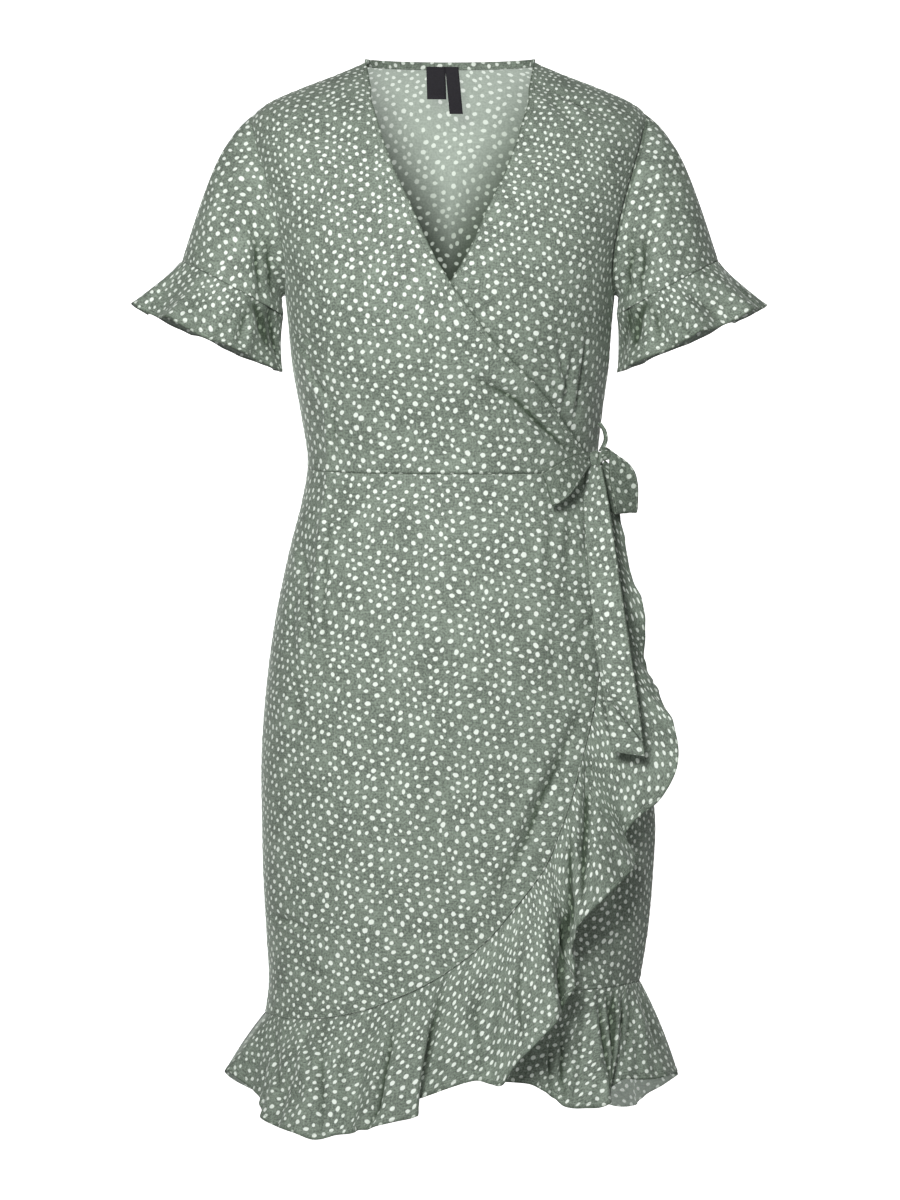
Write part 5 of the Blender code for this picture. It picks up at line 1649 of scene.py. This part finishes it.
# %% Ribbons of the bow
# Each row has the middle of the band, across, back and drop, and the way to one of its edges, the same.
KNOT_CENTRE = np.array((133.0, -40.0, -366.0))
KNOT_HALF_SIZE = np.array((6.5, 6.0, 8.0))
RIBBONS = {
    "bow_loop_front": (
        (127, -44.5, 366, 1, 0, 6), (115, -70, 374.5, 4.5, -1, 10.5), (102, -84, 386.5, 6, -1, 14.5),
        (90, -89.5, 394, 5, 0, 15.2), (88.5, -85, 393.5, 5, 0, 14), (94, -81, 390, 5, 0, 11),
        (105, -72, 383, 4, 0, 9), (117, -58.5, 374, 3, 0, 6.5), (127, -41, 368, 1, 0, 5),
    ),
    "bow_loop_side": (
        (138.5, -42, 362, 0, 0, 6), (149, -50, 361.5, 6, 2, 5), (156, -54, 369, 11, 4, 7),
        (158, -55, 386, 13, 7, 2), (160, -53, 403, 11.5, 8, 0), (160.5, -48, 415, 10, 8, -1),
        (158, -43, 410, 11, 8, 0), (153, -38, 396, 11, 7, 1), (146.5, -36, 382, 8, 4, -3),
        (138.5, -39, 371, 3.5, 0, -4),
    ),
    "bow_tail_lower": (
        (132, -40.5, 373.6, 5, 0, 0), (133.5, -54, 400, 10.5, -2, 0), (136, -66, 440, 13, -2, 1),
        (141, -72, 490, 14.5, -2, 2), (147, -84, 540, 15, -1, 3), (155, -101, 590, 15, 0, 3),
        (161.5, -112, 634, 15, 0, 2),
    ),
    "bow_tail_upper": (
        (132, -43.5, 372.4, 6.5, 0, 0), (132.5, -58, 400, 11, -4, 0), (136.5, -72, 442, 13, -5, 1),
        (142, -78, 490, 14.5, -5, 2), (149, -91, 540, 15, -4, 3), (157, -107, 586, 14, -2, 9),
        (161, -115, 606, 13, -1, 17),
    ),
    "tie_guide": (
        (136.6, -24.0, 333, 1.6, 1.0, -0.6), (141, -30, 340, 1.8, 0.8, 0.2), (142, -36, 349, 1.8, 0.7, 0.3),
        (137.5, -39.8, 359.0, 1.7, 0.6, 0.2),
    ),
}
RIBBON_THICKNESS = 1.1
PLEAT_HEIGHT = 1.1
PLEAT_REACH = 30.0
# painted shade in the pleats near the knot: how dark for their depth, and at most
PLEAT_SHADE = 0.55
PLEAT_SHADE_LIMIT = 0.7
BAND_SHADE = {"bow_loop_front": 0.22, "bow_loop_side": 0.28}  # painted shade, as the loops turn away from the light
LOOP_FOLD = 0.6  # painted shade of a loop where it folds over, and at its two rims
LOOP_RIM = (0.07, 0.75)
SAG_HEIGHT = 0.35
SAG_LENGTH = 34.0
EDGE_FROM, EDGE_RISE = 0.86, 0.25  # the sewn edges are thicker
BAND_COLUMNS = 21


def ribbon(name, rows, seed):
    curve = through(np.asarray(rows, float), 12)
    middle, half = curve[:, :3] * (1, 1, -1), curve[:, 3:] * (1, 1, -1)
    normals = unit(np.cross(np.gradient(middle, axis=0), half))
    across = np.linspace(-1, 1, BAND_COLUMNS)
    points = middle[:, None] + half[:, None] * across[None, :, None]
    from_knot = np.linalg.norm(middle - KNOT_CENTRE, axis=-1)
    pleats = PLEAT_HEIGHT * np.exp(-from_knot / PLEAT_REACH)[:, None] * ripple(across, 0.75, seed)[None]
    sag = SAG_HEIGHT * ripple(lengths_along(middle)[:, None] + 4 * across[None], SAG_LENGTH, seed + 1)
    lift = (pleats + sag * (name != "tie_guide")) * (1 - 0.3 * across**2)
    lift = lift + EDGE_RISE * (np.abs(across) > EDGE_FROM)
    points = points + lift[..., None] * normals[:, None] + RIBBON_THICKNESS / 2 * normals[:, None]
    facing = np.broadcast_to(normals[:, None], points.shape)
    if "tail" in name:  # a tail's inner edge lies on the skirt, and its outer edge stands off, so the painted shade is faint along the inner edge and full along the outer
        edges = edge_shade(points, faint=("left",), hems=("right",))
    else:
        edges = edge_shade(points, hems=("left", "right"))
    shade = np.maximum(edges, np.clip(-PLEAT_SHADE * pleats, 0, PLEAT_SHADE_LIMIT))
    if name in BAND_SHADE:
        turning = np.linalg.norm(np.gradient(unit(np.gradient(middle, axis=0)), axis=0), axis=-1)
        fold = LOOP_FOLD * np.clip(turning / turning.max(), 0, 1)[:, None] ** 2
        rims = hump(1 - np.abs(across), *LOOP_RIM)[None]
        shade = np.maximum(np.maximum(shade, BAND_SHADE[name]), np.maximum(fold, rims))
    flat = flat_from_grid(points, row=0.5)
    slots = (right_side, right_side)
    make_cloth(name, points, facing, flat=flat, thickness=RIBBON_THICKNESS, slots=slots, shade=shade)
    return points, facing


bands = {name: ribbon(name, rows, 110 + k) for k, (name, rows) in enumerate(RIBBONS.items())}
show_last(5)

# %% The knot: a small lump of cloth with the turns of the band pressed into it
KNOT_GROOVES = ((0.35, 0.16, 0.9), (-0.30, 0.14, 0.8), (0.02, 0.10, 0.5))  # tilt, width, depth in mm
KNOT_THICKNESS = 1.6


def knot():
    down = np.linspace(0.02, 0.98, 34)[:, None] * np.pi
    turn = np.radians(np.arange(0, 360, 6.0))[None]
    level = [np.sin(down) * np.cos(turn), np.sin(down) * np.sin(turn)]
    ball = np.stack([*level, np.cos(down) + 0 * turn], axis=-1)
    lift = 0.45 * np.sin(down) ** 2 * np.cos(3 * turn + 2 * np.cos(down))
    for tilt, width, depth in KNOT_GROOVES:
        lift = lift - hump(ball[..., 0] - tilt - 0.4 * tilt * ball[..., 2], width, depth)
    squared = np.sign(ball) * np.abs(ball) ** 0.8
    points = KNOT_CENTRE + squared * (KNOT_HALF_SIZE + lift[..., None] - 0.1)
    flat = flat_from_grid(points, ring=True, row=0.5)
    # painted shade in the grooves
    shade = np.clip(-PLEAT_SHADE * lift, 0, PLEAT_SHADE_LIMIT)
    make_cloth(
        "bow_knot", points, ball, ring=True, flat=flat, thickness=KNOT_THICKNESS,
        slots=(right_side, right_side), shade=shade,
    )


knot()
show_last(1)

# %% [markdown]
# ## Stitches
# The hems, the wrap edge and the binding are topstitched, about nine stitches to 25 mm. Each stitch is a
# short bead of thread. Geometry Nodes lays them: the tree takes a path along the cloth, marks points a
# pitch apart and sets a stitch on each, turned along the path. Change the pitch and every seam follows.

# %% Thread, and the tree that sews
STITCH_PITCH = 2.8
STITCH_LENGTH = 2.0
THREAD_RADIUS = 0.17


def thread_material():
    material, tree, shader = new_material("sewing thread", {"Roughness": 0.5})
    grain = add(tree, "ShaderNodeTexCoord").outputs["Object"]
    twist = add(tree, "ShaderNodeTexNoise", {"Vector": grain, "Scale": 900.0}).outputs["Fac"]
    colour = blended(tree, twist, (0.30, 0.35, 0.29, 1), (0.46, 0.52, 0.45, 1))
    plug(tree, colour, shader.inputs["Base Color"])
    return material


def sewing_tree(thread):
    tree = bpy.data.node_groups.new("sew along a path", "GeometryNodeTree")
    for name, kind, direction in (
        ("Path", "NodeSocketGeometry", "INPUT"), ("Pitch", "NodeSocketFloat", "INPUT"),
        ("Stitch length", "NodeSocketFloat", "INPUT"), ("Thread radius", "NodeSocketFloat", "INPUT"),
        ("Stitches", "NodeSocketGeometry", "OUTPUT"),
    ):
        tree.interface.new_socket(name, in_out=direction, socket_type=kind)
    start, end = tree.nodes.new("NodeGroupInput"), tree.nodes.new("NodeGroupOutput")
    curve = add(tree, "GeometryNodeMeshToCurve", {"Mesh": start.outputs["Path"]})
    spaced = {"Curve": curve.outputs[0], "Length": start.outputs["Pitch"]}
    marks = add(tree, "GeometryNodeResampleCurve", spaced, mode="LENGTH")
    bead = add(tree, "GeometryNodeMeshCylinder", {
        "Vertices": 5, "Radius": start.outputs["Thread radius"], "Depth": start.outputs["Stitch length"],
    })
    tangent = add(tree, "GeometryNodeInputTangent")
    turn = add(tree, "FunctionNodeAlignRotationToVector", {"Vector": tangent.outputs[0]}, axis="Z")
    sewn = add(tree, "GeometryNodeInstanceOnPoints", {
        "Points": marks.outputs[0], "Instance": bead.outputs["Mesh"], "Rotation": turn.outputs[0],
    })
    real = add(tree, "GeometryNodeRealizeInstances", {"Geometry": sewn.outputs[0]})
    coloured = add(tree, "GeometryNodeSetMaterial", {"Geometry": real.outputs[0], "Material": thread})
    tree.links.new(coloured.outputs[0], end.inputs[0])
    return tree


sewing = sewing_tree(thread_material())
print("a stitch every", STITCH_PITCH, "mm")


# %% Paths on the cloth, and sewing along them
def inset(piece, edge, distance, lift=0.12):
    """A line on the cloth at one distance from an edge, a little proud of it."""
    points, facing = piece
    away, _ = distance_to(points, border(points, edge))
    if edge in ("top", "bottom"):
        points, facing, away = (np.swapaxes(a, 0, 1) for a in (points, facing, away))
    if edge in ("left", "top"):
        points, facing, away = points[:, ::-1], facing[:, ::-1], away[:, ::-1]
    line = []
    for row, outward, d in zip(points, facing, away):
        inside = np.nonzero(d >= distance)[0]
        if len(inside) == 0 or inside[-1] == len(d) - 1:
            continue
        k = inside[-1]
        t = (d[k] - distance) / max(d[k] - d[k + 1], 1e-6)
        line.append(row[k] + t * (row[k + 1] - row[k]) + lift * outward[k])
    return np.array(line)


def sew(name, lines):
    mesh = bpy.data.meshes.new(name)
    points, edges = [], []
    for line in lines:
        edges += [(len(points) + k, len(points) + k + 1) for k in range(len(line) - 1)]
        points += (line * MM).tolist()
    mesh.from_pydata(points, edges, [])
    path = placed(name + "_path", mesh)
    modifier = path.modifiers.new("sew", "NODES")
    modifier.node_group = sewing
    sockets = {s.name: s.identifier for s in sewing.interface.items_tree if s.in_out == "INPUT"}
    modifier[sockets["Pitch"]] = STITCH_PITCH * MM
    modifier[sockets["Stitch length"]] = STITCH_LENGTH * MM
    modifier[sockets["Thread radius"]] = THREAD_RADIUS * MM
    evaluated = path.evaluated_get(bpy.context.evaluated_depsgraph_get())
    stitches = bpy.data.meshes.new_from_object(evaluated)
    bpy.data.objects.remove(path)
    return placed(name, stitches)


BINDING_STITCH, RUFFLE_SEAM_STITCH, WAIST_STITCH, BAND_STITCH = 0.9, 1.2, 1.0, 1.6  # mm from the edge
SEWN_LINES = {
    "stitches_neck": [
        inset(wrap_edge_over, "right", HEM_WIDTH),
        inset(wrap_edge_under, "right", HEM_WIDTH),
        inset(binding, "top", BINDING_STITCH),
        inset(binding, "bottom", BINDING_STITCH),
    ],
    "stitches_seams": [
        inset(skirt_front, "right", RUFFLE_SEAM_STITCH),
        inset(skirt_front, "top", WAIST_STITCH),
    ],
    "stitches_hems": [inset(hem, "bottom", HEM_WIDTH) for hem in hems],
    "stitches_flounces": [inset(hem, "bottom", HEM_WIDTH) for hem in flounces],
    "stitches_bow": [
        inset(bands[name], edge, BAND_STITCH)
        for name in RIBBONS if name != "tie_guide"
        for edge in ("left", "right")
    ],
}
sewn = {name: sew(name, lines) for name, lines in SEWN_LINES.items()}
print({name: len(obj.data.polygons) for name, obj in sewn.items()})

# %% [markdown]
# ## Which node each piece stands for
# The imported part has one solid wall for each piece of cloth, which the physics keeps. The shells made
# here take their places in the picture.

# %% Ride and replace
PIECES = {
    "front_over": ("bodice_front_over", "hung", "front_under"),
    "front_under": ("bodice_front_under", "hung", "back"),
    "back": ("bodice_back", "hung", "front_over"),
    "skirt_over": ("skirt_front_over", "hung", "front_over"),
    "skirt_under": ("skirt_front_under", "hung", "front_under"),
    "skirt_back_panel": ("skirt_back", "hung", "back"),
    "ruffle_front": ("ruffle_over", "gathered", "skirt_over"),
    "ruffle_inner": ("ruffle_under", "gathered", "skirt_under"),
    "ruffle_behind": ("ruffle_back", "gathered", "skirt_back_panel"),
    "sleeve_right_cloth": ("sleeve_right", "hung", "front_over"),
    "sleeve_left_cloth": ("sleeve_left", "hung", "front_under"),
    "flounce_right": ("sleeve_flounce_right", "gathered", "sleeve_right_cloth"),
    "flounce_left": ("sleeve_flounce_left", "gathered", "sleeve_left_cloth"),
    "neck_binding": ("neck_binding_back", "folded", "back"),
    "care_tape": ("care_label", "hung", "neck_binding"),
    "neck_tape": ("neck_label", "hung", "neck_binding"),
    "bow_loop_front": ("tie_loop_front", "folded", "bow_knot"),
    "bow_loop_side": ("tie_loop_side", "folded", "bow_knot"),
    "bow_tail_lower": ("tie_tail_lower", "hung", "bow_knot"),
    "bow_tail_upper": ("tie_tail_upper", "hung", "bow_knot"),
    "tie_guide": ("tie_strap", "folded", "bow_knot"),
}
SMALLEST_FLAT = 0.0101
for name, (node, held, rests_on) in PIECES.items():
    obj, width, length, area = made[name]
    width, length = max(width, SMALLEST_FLAT), max(length, SMALLEST_FLAT)
    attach(obj, "root")
    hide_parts(node)
    area = area + (width + length) * CLOTH_THICKNESS * MM  # half the rim, which the measure takes as cloth
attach(made["bow_knot"][0], "root")
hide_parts("tie_knot")
for obj in sewn.values():
    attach(obj, "root")
print("sheets:", len(PIECES), "rows of stitches:", len(sewn))

# %% [markdown]
# ## Studio
# A pale floor that sweeps up far behind, and three soft lights: a small strong one in front, above the
# dress, and two large weak ones, in front at its left and beside it at its right. The floor is where the
# wearer would stand, well below the hem.

# %% Floor and backdrop in one sweep
FLOOR_DROP = 1.43
SWEEP_FRONT = -7.5
SWEEP_BACK = 9.0  # far enough to walk round the dress
SWEEP_RADIUS = 1.8
SWEEP_TOP = 5.0
SWEEP_HALF_WIDTH = 8.0
PAPER_GLOW = (1.0, 4.2, 0.0, 1.02)  # the paper far behind is lit until it is white: from, to, and how much


def sweep():
    profile = [(SWEEP_FRONT, -FLOOR_DROP)]
    for t in np.radians(np.linspace(0, 90, 13)):
        rise = SWEEP_RADIUS * (1 - math.cos(t))
        profile.append((SWEEP_BACK + SWEEP_RADIUS * math.sin(t), -FLOOR_DROP + rise))
    profile.append((SWEEP_BACK + SWEEP_RADIUS, SWEEP_TOP))
    mesh = bpy.data.meshes.new("studio_sweep")
    points = [(x, y, z) for y, z in profile for x in (-SWEEP_HALF_WIDTH, SWEEP_HALF_WIDTH)]
    faces = [(2 * k, 2 * k + 1, 2 * k + 3, 2 * k + 2) for k in range(len(profile) - 1)]
    mesh.from_pydata(points, [], faces)
    mesh.shade_smooth()
    material, tree, shader = new_material("studio paper", {
        "Base Color": (0.9, 0.9, 0.9, 1), "Roughness": 0.9, "Emission Color": (1, 1, 1, 1),
    })
    place = add(tree, "ShaderNodeSeparateXYZ", {0: add(tree, "ShaderNodeTexCoord").outputs["Object"]})
    far = {"Value": place.outputs[1], **dict(enumerate(PAPER_GLOW, start=1))}
    plug(tree, add(tree, "ShaderNodeMapRange", far).outputs[0], shader.inputs["Emission Strength"])
    mesh.materials.append(material)
    placed("studio_sweep", mesh)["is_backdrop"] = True


sweep()
print("the paper's bend starts", SWEEP_BACK, "m behind the dress")

# %% Lights: name, place, what they aim at, size in metres and watts
LIGHTS = (
    ("key", (-0.45, -2.2, 0.5), (0, 0, -0.2), 0.8, 54),
    ("fill", (2.4, -3.0, 0.1), (0, 0, -0.5), 2.0, 9),
    ("side", (-3.2, -1.0, 0.2), (0, 0, -0.5), 1.4, 6),
)
WORLD_STRENGTH = 0.075
for name, place, aim, size, watts in LIGHTS:
    data = bpy.data.lights.new(name, "AREA")
    data.shape, data.size = "DISK", size
    data.energy = watts
    light = placed(name, data)
    light.location = place
    toward = np.array(aim) - np.array(place)
    tilt = math.acos(-toward[2] / np.linalg.norm(toward))
    light.rotation_euler = (tilt, 0, math.atan2(-toward[0], toward[1]))
world = bpy.data.worlds.new("studio air")
world.use_nodes = True
world.node_tree.nodes["Background"].inputs[0].default_value = (1, 1, 1, 1)
world.node_tree.nodes["Background"].inputs[1].default_value = WORLD_STRENGTH
bpy.context.scene.world = world
bpy.context.scene.view_settings.view_transform = "Standard"
print("lights:", [row[0] for row in LIGHTS])

# %% Show the two boxes and finish
shown_box = [list(corner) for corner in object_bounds()]
for word, box in (("cad", cad_box), ("visual", shown_box)):
    print(word, [[round(x, 4) for x in corner] for corner in box])
